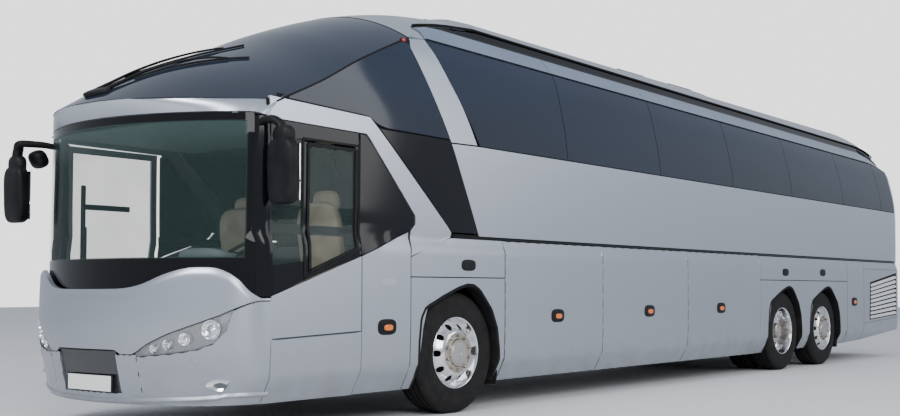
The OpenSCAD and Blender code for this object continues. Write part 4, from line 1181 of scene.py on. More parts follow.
class Headlamps(Maker, bpy.types.Operator):
    """Headlamp units: bowl, four round lamps, indicator and a clear cover; rear lamps"""
    bl_idname = "coach.headlamps"
    bl_label = "Lamps"

    def execute(self, context):
        bowl, rings, cups, covers, amber = [], [], [], [], []
        for sgn in (-1, 1):
            a = nose_angles(0.512, 1.166, 40)
            xx = nose_x(a)
            hi = np.interp(xx, *LAMP_TOP)
            lo = np.minimum(np.interp(xx, *LAMP_LOW), hi - 0.002)
            bowl.append(nose_sheet(sgn * a, lo, hi, 10, mask_setback, -0.04, 0.012))
            covers.append(nose_sheet(sgn * a, lo + 0.001, hi - 0.001, 10, mask_setback, -0.002, 0.004))
            # walls of the bowl
            for line in (lo, hi):
                k = np.linspace(0, 1, 3)[None, :]
                ang = np.broadcast_to((sgn * a)[:, None], (40, 3))
                zz = np.broadcast_to(line[:, None], (40, 3))
                out = nose_point(ang, zz, mask_setback(zz), -0.004 - 0.04 * k)
                ins = out.copy()
                ins[..., 2] += 0.003 * (1 if line is hi else -1)
                bowl.append(slab(at_station(out), at_station(ins)))
            for xc, zc, r in ((0.655, 0.622, 0.03), (0.755, 0.652, 0.034), (0.875, 0.692, 0.044), (1.04, 0.757, 0.066)):
                ac = nose_angle(xc, zc)
                c = nose_point(np.array(ac), np.array(zc), mask_setback(np.array(zc)), -0.012)[()]
                n = np.array([math.sin(ac) * 0.75, -1.0, 0.0])
                n /= np.linalg.norm(n)
                u = np.array([-n[1], n[0], 0.0])
                w = np.array([0, 0, 1.0])
                ph = np.linspace(0, 2 * np.pi, 36)[:, None, None]
                prof = np.array([(1.0, -0.02), (1.06, 0.004), (1.0, 0.008), (0.9, 0.004), (0.8, -0.012), (0.45, -0.03),
                    (0.3, -0.02), (0.02, -0.01)])
                rr, dd = prof[None, :, 0, None] * r, prof[None, :, 1, None]
                p = c + rr * (np.cos(ph) * u + np.sin(ph) * w) + dd * n
                q = p - 0.004 * n
                p, q = (np.stack([sgn * m[..., 0], m[..., 1], m[..., 2]], -1) for m in (p, q))
                rings.append(slab(at_station(p[:, :5]), at_station(q[:, :5])))
                cups.append(slab(at_station(p[:, 4:]), at_station(q[:, 4:])))
            a2 = nose_angles(1.095, 1.15, 8)
            xx = nose_x(a2)
            hi = np.interp(xx, *LAMP_TOP) - 0.006
            lo2 = hi - 0.05
            amber.append(nose_sheet(sgn * a2, lo2, hi, 4, mask_setback, -0.02, 0.006))
        b = finish_mesh("headlamp_bowls", *merge(bowl), BODY, lamp_surround(), "lamp")
        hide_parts("lamps")
        finish_mesh("headlamp_rings", *merge(rings), BODY, reflector(), "lamp")
        finish_mesh("headlamp_cups", *merge(cups), BODY, reflector(), "lamp")
        finish_mesh("headlamp_covers", *merge(covers), BODY, lens("clear"), "lamp")
        finish_mesh("front_indicators", *merge(amber), BODY, lens("clear"), "lamp")
        # rear lamp columns: three lenses each in a dark housing
        house, red, amb, white = [], [], [], []
        for sgn in (-1, 1):
            def plate(z0, z1, push, x0=0.985, x1=1.125):
                xs = np.linspace(x0, x1, 10)[:, None]
                zz = np.linspace(z0, z1, 12)[None, :]
                xx, zz = np.broadcast_arrays(xs, zz)
                y = tail_y(xx, zz)
                out = np.stack([sgn * xx, y + push, zz], -1)
                ins = out - np.array([0, 0.02, 0])
                return slab(at_station(out), at_station(ins))
            house.append(plate(0.765, 1.325, -0.01))
            red.append(plate(0.985, 1.155, 0.004, 1.0, 1.11))
            red.append(plate(1.165, 1.315, 0.004, 1.0, 1.11))
            amb.append(plate(0.875, 0.975, 0.004, 1.0, 1.11))
            white.append(plate(0.775, 0.865, 0.004, 1.0, 1.11))
        finish_mesh("tail_lamp_housings", *merge(house), BODY, black_gloss(), "lamp")
        for nm, bag, tint in (("tail_lamp_red", red, "red"), ("tail_lamp_amber", amb, "amber"),
            ("tail_lamp_white", white, "clear")):
            o = finish_mesh(nm, *merge(bag), BODY, lens(tint), "lamp")
            bevelled(o, 0.004, 2)
        return {"FINISHED"}


SCREEN_BACK = 0.085


def screen_setback(z):
    """The windscreen stands back from the mask and leans very slightly."""
    return SCREEN_BACK + 0.02 * np.clip((np.asarray(z, float) - 1.1) / 1.2, 0, 1) ** 2


class Windscreens(Maker, bpy.types.Operator):
    """Clear windscreen with a printed border, corner posts, visor band and the sloping upper screen"""
    bl_idname = "coach.windscreens"
    bl_label = "Windscreens"

    def execute(self, context):
        w = nose_angle(1.195, 1.6)
        th = np.linspace(-w, w, 81)
        lo, hi = np.full(81, 1.0), np.full(81, 2.268)
        v, f = nose_sheet(th, lo, hi, 30, screen_setback, 0.0, 0.01)
        ws = finish_mesh("front_screen", v, f, BODY, clear_screen(1.262, 1.175), "clear_glass")
        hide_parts("windscreen")
        # corner posts between screen and side, gloss black
        posts = []
        for sgn in (-1, 1):
            a = sgn * np.linspace(w + 0.004, math.radians(90), 18)
            z = np.linspace(0, 1, 24)[None, :]
            zz = 0.985 + z * (2.248 - 0.985)
            zz = np.broadcast_to(zz, (18, 24))
            aa = np.broadcast_to(a[:, None], zz.shape)
            fade = np.clip((np.abs(aa) - w) / (math.pi / 2 - w), 0, 1)
            back = screen_setback(zz) * (1 - fade * 0.95)
            out = nose_point(aa, zz, back)
            ins = nose_point(aa, zz, back, -0.03)
            posts.append(slab(at_station(out), at_station(ins)))
            posts.append(rect(-2.125, -2.07, 0.99, 2.236, sgn, -0.014, 0.012, 3, 20))
        finish_mesh("screen_corner_posts", *merge(posts), BODY, black_gloss(), "black_plastic")
        # trough between mask and screen
        a = np.linspace(-EDGE_A, EDGE_A, 81)
        k = np.linspace(0, 1, 6)[None, :]
        z = np.broadcast_to(0.995 + 0.03 * k, (81, 6))
        gr = -0.025 * np.ones((81, 6))
        back = 0.0 + 0.1 * k * np.ones((81, 1))
        out = nose_point(np.broadcast_to(a[:, None], z.shape), z, back, gr)
        ins = out - np.array([0, 0, 0.012])
        finish_mesh("screen_trough", *slab(at_station(out), at_station(ins)), BODY, rubber(), "black_plastic")
        # visor band: from the windscreen's top out to the upper screen's front edge
        n = 101
        th = np.linspace(-math.radians(89), math.radians(89), n)
        low = nose_point(th, np.full(n, 2.276), np.full(n, SCREEN_BACK + 0.02), 0.004)
        fade = np.clip((np.abs(th) - w) / (math.pi / 2 - w), 0, 1)
        low = nose_point(th, 2.276 - 0.026 * fade, (SCREEN_BACK + 0.02) * (1 - fade), 0.004)
        ys = low[:, 1].copy()
        xt = low[:, 0] * 0.985
        for _ in range(40):
            zt = brow(xt, ys) - 0.004
            target = 2.372 + 0.03 * np.clip(np.abs(xt) / 1.2, 0, 1) ** 2
            ys = ys + np.clip((target - zt) / 0.7, -0.02, 0.02)
        ys = np.minimum(ys, -2.02)
        top = np.stack([xt, ys, np.minimum(target, brow(xt, ys) - 0.002)], -1)
        k = np.linspace(0, 1, 9)[None, :, None]
        belly = np.sin(k * np.pi) * 0.014
        p = low[:, None] * (1 - k) + top[:, None] * k
        nrm = np.stack([np.sin(th), -np.cos(th), 0.35 * np.ones(n)], 1)[:, None]
        p = p + nrm * belly
        q = p - nrm * 0.022
        vis = finish_mesh("visor_band_skin", *slab(at_station(p), at_station(q)), BODY, silver_paint(), "paint")
        bevelled(vis, 0.004, 2)
        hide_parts("visor_band")
        # short dark joint between the front band and its side part
        gap = []
        for sgn in (-1, 1):
            gap.append(rect(-2.112, -2.08, 2.2, 2.38, sgn, -0.008, 0.012, 3, 6))
        finish_mesh("visor_joints", *merge(gap), BODY, rubber(), "black_plastic")
        # upper screen: the brow surface from the visor to the roof's silver bow
        ns, nt = 81, 60
        s = np.linspace(-1, 1, ns)
        front_y = np.interp(s * 1.2, xt, ys) + 0.004
        t = np.linspace(0, 1, nt)[None, :]
        y = front_y[:, None] * (1 - t) + (-0.462) * t
        zc = np.full(y.shape, 2.7)
        edge = half_width(y, zc)
        for _ in range(30):
            zc = 0.5 * zc + 0.5 * brow(edge, y)
            edge = half_width(y, zc) - 0.004
        x = s[:, None] * edge
        z = brow(x, y)
        out = np.stack([x, y, z], -1)
        ins = np.stack([x * 0.99, y + 0.008, z - 0.014], -1)
        up = finish_mesh("upper_screen", *slab(at_station(out), at_station(ins)), BODY, tinted_glass(), "tinted_glass")
        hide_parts("upper_windscreen")
        # black joint along the screen's side edge and behind it
        back = []
        ye = np.linspace(-2.03, -0.44, 50)
        ze = np.full(50, 2.7)
        for _ in range(30):
            e = half_width(ye, ze)
            ze = 0.5 * ze + 0.5 * brow(e, ye)
        for sgn in (-1, 1):
            line = at_station(np.stack([sgn * (e - 0.004), ye, ze - 0.006], 1))
            back.append(tube(line, 0.009, 8))
        xs = np.linspace(-1.07, 1.07, 60)
        line = at_station(np.stack([xs, np.full(60, -0.452), brow(xs, -0.452) - 0.006], 1))
        back.append(tube(line, 0.009, 8))
        finish_mesh("upper_screen_joints", *merge(back), BODY, rubber(), "black_plastic")
        return {"FINISHED"}


# ---------------------------------------------------------------- makers: roof and rear

def tail_y(x, z):
    """Station of the rear wall: upright, rounded at its corners and leaning in at the top and bottom."""
    x, z = np.abs(x), np.asarray(z, float)
    base = TAIL - np.interp(z, [0.4, 0.5, 0.62], [0.03, 0.012, 0.0]) - smooth(
        z, [2.6, 2.85, 3.1, 3.22, 3.34, 3.42], [0.0, 0.004, 0.085, 0.16, 0.3, 0.45])
    r = 0.15
    hw = half_width(np.full(np.shape(z), 5.0), z)
    past = np.clip(x - (hw - r), 0, r * 0.999)
    return base - 0.6 * (r - np.sqrt(r * r - past**2))


class Roof(Maker, bpy.types.Operator):
    """Silver roof skin, cove glass strips, rain rails, roof hatches and the low air unit"""
    bl_idname = "coach.roof"
    bl_label = "Roof"

    def execute(self, context):
        # crown with the two hatch openings left out: columns of x, rows between stations
        hatches = {}
        for nm in ("roof_hatch_front", "roof_hatch_rear"):
            lo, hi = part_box(nm)
            hatches[nm] = (lo[0], hi[0], lo[1] - A0, hi[1] - A0)
        hw = 0.302
        back = TAIL - 0.16
        y_front = -0.442
        outer = np.concatenate([np.linspace(hw, 0.86, 16), [0.885]])
        parts = [top_sheet(outer, y_front, back, 120), top_sheet(-outer[::-1], y_front, back, 120)]
        mid = np.linspace(-hw, hw, 14)
        cuts = sorted((h[2] - 0.008, h[3] + 0.008) for h in hatches.values())
        stops = [y_front, cuts[0][0], cuts[0][1], cuts[1][0], cuts[1][1], back]
        for a, b in ((0, 1), (2, 3), (4, 5)):
            parts.append(top_sheet(mid, stops[a], stops[b], 40))
        # shoulders at the silver bow ahead of the panes
        bow = np.linspace(0.86, 1.066, 10)
        for sgn in (1, -1):
            xs = bow if sgn > 0 else -bow[::-1]
            ends = np.interp(np.abs(xs), [0.86, 0.93, 1.0, 1.066], [-0.19, -0.24, -0.255, -0.235])
            parts.append(top_sheet(xs, y_front, ends, 12))
        r = finish_mesh("roof_skin", *merge(parts), BODY, silver_paint(), "paint")
        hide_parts("roof_shell")
        # cove strips: glass-like, split at the pane seams, with dark joints
        cove, rail, line = [], [], []
        edges = [-0.225] + PANE_SEAMS + [TAIL - 0.19]
        for sgn in (1, -1):
            cols = np.linspace(0.934, 1.062, 7)
            xs = cols if sgn > 0 else -cols[::-1]
            for i in range(len(edges) - 1):
                cove.append(top_sheet(xs, edges[i] + 0.004, edges[i + 1] - 0.004, 14, 0.004))
            cols = np.linspace(0.896, 0.936, 5)
            xs = cols if sgn > 0 else -cols[::-1]
            rail.append(top_sheet(xs, -0.235, back, 90, -0.006))
            # rain rail: a slim bar along the roof's edge with a rounded front end
            yy = np.concatenate([[-0.2, -0.17], np.linspace(-0.1, TAIL - 0.7, 60),
                [TAIL - 0.5, TAIL - 0.35, TAIL - 0.25, TAIL - 0.18]])
            xx = np.full(len(yy), 0.905)
            zz = roof(np.full(len(yy), 0.9), yy) + 0.012
            line.append(tube(at_station(np.stack([sgn * xx, yy, zz], 1)), 0.0105, 8))
            # outer joint under the strip, along the shoulder
            zz = roof(np.full(len(yy), 1.066), yy) + 0.004
            line.append(tube(at_station(np.stack([np.full(len(yy), sgn * 1.067), yy, zz], 1)), 0.006, 6))
        finish_mesh("cove_strips", *merge(cove), BODY, roof_glass(), "tinted_glass")
        finish_mesh("rail_channels", *merge(rail), BODY, black_gloss(), "black_plastic")
        finish_mesh("rain_rails", *merge(line), BODY, rubber(), "black_plastic")
        # hatches: crowned lid with a pressed field, on their own bodies
        for nm, (x0, x1, y0, y1) in hatches.items():
            xs = np.linspace(x0, x1, 22)
            t = np.linspace(0, 1, 26)[None, :]
            y = np.broadcast_to(y0 * (1 - t) + y1 * t, (22, 26))
            x = np.broadcast_to(xs[:, None], y.shape)
            inset = np.minimum(np.minimum(x - x0, x1 - x), np.minimum(y - y0, y1 - y))
            z = roof(x, y) + 0.004 + 0.01 * np.clip((inset - 0.05) / 0.03, 0, 1)
            lid = slab(at_station(np.stack([x, y, z], -1)), at_station(np.stack([x, y, z - 0.028], -1)))
            o = finish_mesh(nm + "_lid", *lid, nm, silver_paint(), "paint")
            bevelled(o, 0.006, 2)
            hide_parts(nm)
            rim = at_station(np.array([(x0 - 0.004, y0 - 0.004), (x1 + 0.004, y0 - 0.004), (x1 + 0.004, y1 + 0.004),
                (x0 - 0.004, y1 + 0.004), (x0 - 0.004, y0 - 0.004)]) @ np.array([[1, 0, 0], [0, 1, 0]]))
            rim = resample(rim, 80)
            rim[:, 2] = roof(rim[:, 0], rim[:, 1] - A0) - 0.012
            seal = tube(rim, 0.008, 8)
            finish_mesh(nm + "_seal", *seal, BODY, rubber(), "black_plastic")
        # low air unit: rounded mound with two grilles
        lo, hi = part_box("roof_unit")
        y0, y1 = lo[1] - A0, hi[1] - A0
        u, v = np.linspace(-1, 1, 40)[:, None], np.linspace(-1, 1, 60)[None, :]
        x = 0.41 * u * np.ones_like(v)
        y = (y0 + y1) / 2 + (y1 - y0) / 2 * v * np.ones_like(u)
        lift = (1 - u**6) ** 0.5 * (1 - v**10) ** 0.5
        base = roof(x, y)
        z = base - 0.01 + (hi[2] - 3.6 + 0.006) * lift - 0.02 * np.abs(u) ** 2
        mound = slab(at_station(np.stack([x, y, z], -1)), at_station(np.stack([x, y, base - 0.03], -1)))
        o = finish_mesh("roof_air_unit", *mound, BODY, silver_paint(), "paint")
        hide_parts("roof_unit")
        slats = []
        for c in (-0.62, 0.62):
            for k in range(14):
                yy = (y0 + y1) / 2 + c + (k - 6.5) * 0.045
                zz = 3.672
                slats.append(block((-0.24, A0 + yy - 0.012, zz - 0.012), (0.24, A0 + yy + 0.012, zz + 0.002)))
        finish_mesh("air_unit_grilles", *merge(slats), BODY, moulded_black(), "black_plastic")
        return {"FINISHED"}


class Rear(Maker, bpy.types.Operator):
    """Rear wall panels, rear glass, engine hatch, bumper line and blank plate place"""
    bl_idname = "coach.rear"
    bl_label = "Rear"

    def execute(self, context):
        s = sizes()

        def plate(x0, x1, z0, z1, push=0.0, thick=0.03, nx=30, nz=20):
            u = np.linspace(0, 1, nx)[:, None]
            v = np.linspace(0, 1, nz)[None, :]
            x = (x0 * (1 - u) + x1 * u) * np.ones_like(v)
            z = (z0 * (1 - v) + z1 * v) * np.ones_like(u)
            hw = half_width(np.full(z.shape, TAIL - 0.09), z)
            xx = np.clip(x, -hw, hw)
            for _ in range(4):
                z = np.minimum(z, roof(xx, tail_y(xx, z)) - 0.003)
            y = tail_y(xx, z) + push
            out = np.stack([xx, y, z], -1)
            ins = np.stack([xx * 0.99, y - thick, z], -1)
            return slab(at_station(out), at_station(ins))

        g = s.seam
        hx, hz0, hz1 = 0.944, 0.576, 1.402
        parts = [plate(-1.3, 1.3, 0.41, hz0 - g, nx=60, nz=8)]
        for sgn in (-1, 1):
            a, b = sorted((sgn * (hx + g), sgn * 0.978))
            parts.append(plate(a, b, hz0 + g, hz1, nx=4))
            a, b = sorted((sgn * 0.978, sgn * 1.132))
            parts.append(plate(a, b, hz0 + g, 0.758, nx=8, nz=6))
            parts.append(plate(a, b, 1.332, hz1, nx=8, nz=4))
            a, b = sorted((sgn * 1.132, sgn * 1.3))
            parts.append(plate(a, b, hz0 + g, hz1, nx=16))
        parts.append(plate(-1.3, 1.3, hz1 + g, 2.3, nx=60))
        parts.append(plate(-0.97, 0.97, 3.185, 3.3, nx=40, nz=8))
        for sgn in (-1, 1):
            a, b = sorted((sgn * 0.965, sgn * 1.24))
            parts.append(plate(a, b, 2.3, 3.16, nx=18, nz=24))
        r = finish_mesh("rear_wall_skin", *merge(parts), BODY, silver_paint(), "paint")
        bevelled(r, s.edge, 2)
        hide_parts("rear_wall")
        glass = finish_mesh("rear_glass", *plate(-0.957, 0.957, 2.308, 3.178, 0.002, 0.012, 40, 26), BODY, tinted_glass(),
            "tinted_glass")
        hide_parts("rear_window")
        back = []
        back.append(plate(-0.99, 0.99, 2.27, 2.34, -0.034, 0.01, 20, 3))
        back.append(plate(-1.0, -0.93, 2.3, 3.2, -0.034, 0.01, 3, 14))
        back.append(plate(0.93, 1.0, 2.3, 3.2, -0.034, 0.01, 3, 14))
        back.append(plate(-1.22, 1.22, 1.38, 1.43, -0.034, 0.01, 30, 3))
        for sgn in (-1, 1):
            a, b = sorted((sgn * (hx - 0.01), sgn * (hx + 0.03)))
            back.append(plate(a, b, 0.56, 1.42, -0.045, 0.01, 3, 10))
        finish_mesh("rear_seam_backs", *merge(back), BODY, rubber(), "black_plastic")
        # dark curved corner pieces where the roof line turns down
        corner = []
        for sgn in (-1, 1):
            k = np.linspace(0, 1, 24)
            yy = np.interp(k, [0, 1], [TAIL - 0.85, TAIL - 0.165])
            xx = smooth(k, [0, 0.5, 1], [0.912, 0.925, 0.965])
            corner.append(tube(at_station(np.stack([sgn * xx, yy, roof(xx, yy) + 0.002], 1)),
                np.interp(k, [0, 0.4, 1], [0.01, 0.022, 0.016]), 10))
        finish_mesh("rear_roof_corners", *merge(corner), BODY, black_gloss(), "black_plastic")
        # engine hatch on its own body: louvre slats and the blank plate
        h = [plate(-hx, hx, hz0, hz1, 0.0, 0.03, 40, 26)]
        hatch = finish_mesh("engine_hatch_skin", *merge(h), "engine_hatch", silver_paint(), "paint")
        bevelled(hatch, s.edge, 2)
        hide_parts("engine_hatch")
        slats = []
        for k in range(9):
            z = 0.86 + k * 0.045
            slats.append(block((-0.62, A0 + TAIL - 0.004, z), (0.62, A0 + TAIL + 0.006, z + 0.022),
                               lambda v: v + np.array([0, 0.0, 0]) ))
        o = finish_mesh("engine_hatch_louvres", *merge(slats), "engine_hatch", moulded_black(), "black_plastic")
        bevelled(o, 0.003, 2)
        pl = finish_mesh("blank_rear_plate", *block((-0.26, A0 + TAIL + 0.0005, 0.64), (0.26, A0 + TAIL + 0.004, 0.75)),
            "engine_hatch", blank_plate(), "paint")
        bevelled(pl, 0.001, 1)
        return {"FINISHED"}


# ---------------------------------------------------------------- makers: flaps and doors

class Flaps(Maker, bpy.types.Operator):
    """Skins of the luggage flaps and the storage flap, each on its own body"""
    bl_idname = "coach.flaps"
    bl_label = "Luggage flaps"

    def execute(self, context):
        s = sizes()
        g, t = s.seam, s.skin
        for side, name, count in ((1, "left", 3), (-1, "right", 2)):
            for i in range(count):
                y0, y1 = FLAP_SEAMS[i] + g, FLAP_SEAMS[i + 1] - g
                node = f"{name}_luggage_flap_{i + 1}"
                low = [(y, skirt(y)) for y in (y0, y1)]
                skin = side_sheet(side, low, [(y0, 1.457), (y1, 1.457)], 22, 34, 0.0, t)
                o = finish_mesh(node + "_skin", *skin, node, silver_paint(), "paint")
                bevelled(o, s.edge)
                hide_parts(node)
        low = [(-2.1 + g, 0.236), (-1.19 - g, 0.236)]
        top = [(-2.1 + g, 0.68), (-1.19 - g, 0.712)]
        o = finish_mesh("left_storage_flap_skin", *side_sheet(1, low, top, 14, 20, 0.0, t), "left_storage_flap", silver_paint(),
            "paint")
        bevelled(o, s.edge)
        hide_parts("left_storage_flap")
        return {"FINISHED"}


def ruled(side, corners, u0, u1, v0, v1, nu, nv, push, thick):
    """Plate inside the four-cornered (station, height) field, told in shares of it."""
    c = np.array(corners, float)
    u = np.linspace(u0, u1, nu)[:, None, None]
    v = np.linspace(v0, v1, nv)[None, :, None]
    yz = (c[0] * (1 - u) + c[1] * u) * (1 - v) + (c[3] * (1 - u) + c[2] * u) * v
    w = half_width(yz[..., 0], yz[..., 1])
    out = np.stack([side * (w + push), yz[..., 0], yz[..., 1]], -1)
    return slab(at_station(out), at_station(out - np.array([side * thick, 0, 0])))


class EngineDoors(Maker, bpy.types.Operator):
    """Engine doors with their slanting louvred grilles"""
    bl_idname = "coach.engine_doors"
    bl_label = "Engine doors"

    def execute(self, context):
        s = sizes()
        g, t = s.seam, s.skin
        y0, y1 = 9.61 + g, TAIL - 0.15 - g
        door = [(y0, 0.535 + g), (y1, 0.6 + g), (y1, 1.352 - g), (y0, 1.352 - g)]
        grille = [(9.85, 0.585), (y1 - 0.02, 0.64), (y1 - 0.02, 1.305), (9.875, 1.15)]
        for side, name in ((1, "left"), (-1, "right")):
            node = f"{name}_engine_door"
            edge = [side_sheet(side, [door[a], door[b]], [grille[a], grille[b]], 20, 5, 0.0, t) for a,
                b in ((0, 1), (1, 2), (2, 3), (3, 0))]
            o = finish_mesh(node + "_skin", *merge(edge), node, silver_paint(), "paint")
            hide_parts(node)
            back = ruled(side, grille, -0.03, 1.01, -0.03, 1.03, 6, 6, -0.03, 0.008)
            finish_mesh(node + "_recess", *back, node, deep_shadow(), "black_plastic")
            frame_bars = [ruled(side, grille, 0.0, 0.03, 0.0, 1.0, 3, 10, 0.001, 0.026),
                ruled(side, grille, 0.985, 1.0, 0.0, 1.0, 3, 10, 0.001, 0.026),
                          ruled(side, grille, 0.0, 1.0, 0.0, 0.022, 10, 3, 0.001, 0.026),
                              ruled(side, grille, 0.0, 1.0, 0.978, 1.0, 10, 3, 0.001, 0.026)]
            finish_mesh(node + "_grille_frame", *merge(frame_bars), node, moulded_black(), "black_plastic")
            slats = []
            step = 0.95 / s.slats
            for k in range(s.slats):
                v = 0.03 + k * step
                v0, f0 = ruled(side, grille, 0.032, 0.983, v, v + step * 0.6, 12, 3, 0.012, 0.006)
                lean = np.tile(np.array([0.0, -0.01, -0.02]), len(v0) // 3)
                v0 = v0 + np.stack([side * lean, 0 * lean, 0 * lean], 1)
                slats.append((v0, f0))
            finish_mesh(node + "_louvres", *merge(slats), node, polished_slats(), "polished_metal")
        return {"FINISHED"}


class Doors(Maker, bpy.types.Operator):
    """Front and middle passenger doors: painted leaf, dark rubber edge and glass"""
    bl_idname = "coach.doors"
    bl_label = "Passenger doors"

    def execute(self, context):
        s = sizes()
        g, t = s.seam, s.skin
        for node, y0, y1, top, belt in (("front_door", -2.082, -1.196, 2.226, 1.1),
            ("middle_door", WC + 0.01, WC + 0.86, 2.14, 1.478)):
            body = node
            leaf = [rect(y0 + g, y1 - g, 0.3, belt, -1, 0.0, t, 12, 26)]
            for a, b, c, d in ((y0 + g, y0 + 0.055, belt, top), (y1 - 0.055, y1 - g, belt, top),
                (y0 + 0.055, y1 - 0.055, top - 0.055, top)):
                leaf.append(rect(a, b, c, d, -1, 0.0, t, 4, 16))
            o = finish_mesh(node + "_leaf", *merge(leaf), body, silver_paint(), "paint")
            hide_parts(node)
            glass = rect(y0 + 0.058, y1 - 0.058, belt + 0.004, top - 0.058, -1, -0.002, 0.01, 8, 16)
            pane = (clear_side(), "clear_glass") if node == "front_door" else (tinted_glass(), "tinted_glass")
            finish_mesh(node + "_glass", *glass, body, *pane)
            inner = rect(y0 + 0.03, y1 - 0.03, 0.32, belt, -1, -0.045, 0.018, 6, 16)
            finish_mesh(node + "_lining", *inner, body, moulded_black(), "black_plastic")
            bar = [tube([(-1.12, A0 + y0 + 0.1, 0.95), (-1.12, A0 + y0 + 0.1, 1.55)], 0.014, 10)]
            finish_mesh(node + "_grab_bar", *merge(bar), body, moulded_black(), "steel")
            seal = []
            for a in (y0 - 0.002, y1 + 0.002):
                zz = np.linspace(0.3, top, 30)
                w = half_width(np.full(30, a), zz) - 0.01
                seal.append(tube(at_station(np.stack([-w, np.full(30, a), zz], 1)), 0.007, 8))
            finish_mesh(node + "_seals", *merge(seal), BODY, rubber(), "black_plastic")
        return {"FINISHED"}


# ---------------------------------------------------------------- makers: small side parts

def disc_patch(side, y, z, ry, rz, push, depth, power=2.0, n=32):
    """Raised rounded button on the side: superellipse rings that fall to the edge."""
    a = np.linspace(0, 2 * np.pi, n)[:, None]
    k = np.array([0.02, 0.5, 0.82, 0.94, 1.0])[None, :]
    h = np.array([1.0, 0.98, 0.85, 0.5, -0.6])[None, :] * depth
    c, s = np.cos(a), np.sin(a)
    e = 2 / power
    yy = y + ry * k * np.sign(c) * np.abs(c) ** e
    zz = z + rz * k * np.sign(s) * np.abs(s) ** e
    w = half_width(yy, zz) + push + h
    out = np.stack([side * w, yy, zz], -1)
    return slab(at_station(out), at_station(out - np.array([side * 0.006, 0, 0])))


class SideTrim(Maker, bpy.types.Operator):
    """Pull handles, side marker lamps, roof marker lamps and mudflaps"""
    bl_idname = "coach.side_trim"
    bl_label = "Side trim"

    def execute(self, context):
        flap = {1: [BODY, "left_luggage_flap_1", "left_luggage_flap_2", "left_luggage_flap_3"],
            -1: [BODY, "right_luggage_flap_1", "right_luggage_flap_2", BODY]}
        spots = [(-0.905, 0.743), (1.454, 0.791), (3.181, 0.811), (4.86, 0.823), (9.21, 0.862)]
        for side, name in ((1, "left"), (-1, "right")):
            bodies = [BODY, flap[side][1], flap[side][2], flap[side][3], BODY]
            for i, ((y, z), body) in enumerate(zip(spots, bodies)):
                b = finish_mesh(f"{name}_marker_base_{i}", *disc_patch(side, y, z, 0.108, 0.064, 0.001, 0.01, 3.2), body,
                    moulded_black(), "black_plastic")
                finish_mesh(f"{name}_marker_lens_{i}", *disc_patch(side, y + 0.006, z - 0.004, 0.052, 0.024, 0.01, 0.007, 3.0),
                    body, lens("amber"), "lamp")
            parts = [disc_patch(side, y, z, 0.1, 0.05, 0.0, 0.008, 3.0) for y, z in ((0.11, 1.24), (6.73, 1.262), (8.0, 1.272))]
            finish_mesh(f"{name}_pull_handles", *merge(parts), BODY, moulded_black(), "black_plastic")
            finish_mesh(f"{name}_side_indicator", *disc_patch(side, -0.9, 1.094, 0.085, 0.034, 0.001, 0.016, 2.4), BODY,
                lens("clear"), "lamp")
            y, z = -0.5, 3.075
            base = pillow((side * 1.088, A0 + y, z), (0.034, 0.115, 0.05), 3.0, 0.3, 10)
            tip = pillow((side * 1.1, A0 + y - 0.03, z + 0.002), (0.026, 0.042, 0.034), 2.4, 0.3, 8)
            finish_mesh(f"{name}_roof_marker", *base, BODY, moulded_black(), "black_plastic")
            finish_mesh(f"{name}_roof_marker_lens", *tip, BODY, lens("red"), "lamp")
            flaps = []
            for y, z0, x0, x1 in ((0.585, 0.2, 0.93, 1.215), (S3 + 0.615, 0.22, 0.93, 1.205), (S2 - 0.6, 0.3, 0.62, 1.0)):
                xs = np.linspace(x0, x1, 8)[:, None]
                zs = np.linspace(z0, 0.62, 12)[None, :]
                xx, zz = np.broadcast_arrays(xs, zs)
                yy = y + 0.012 * np.sin((zz - z0) * 9) + 0.05 * (zz - 0.62)
                out = np.stack([side * xx, yy, zz], -1)
                flaps.append(slab(at_station(out), at_station(out + np.array([0, 0.01, 0]))))
            finish_mesh(f"{name}_mudflaps", *merge(flaps), BODY, rubber(), "black_plastic")
        return {"FINISHED"}


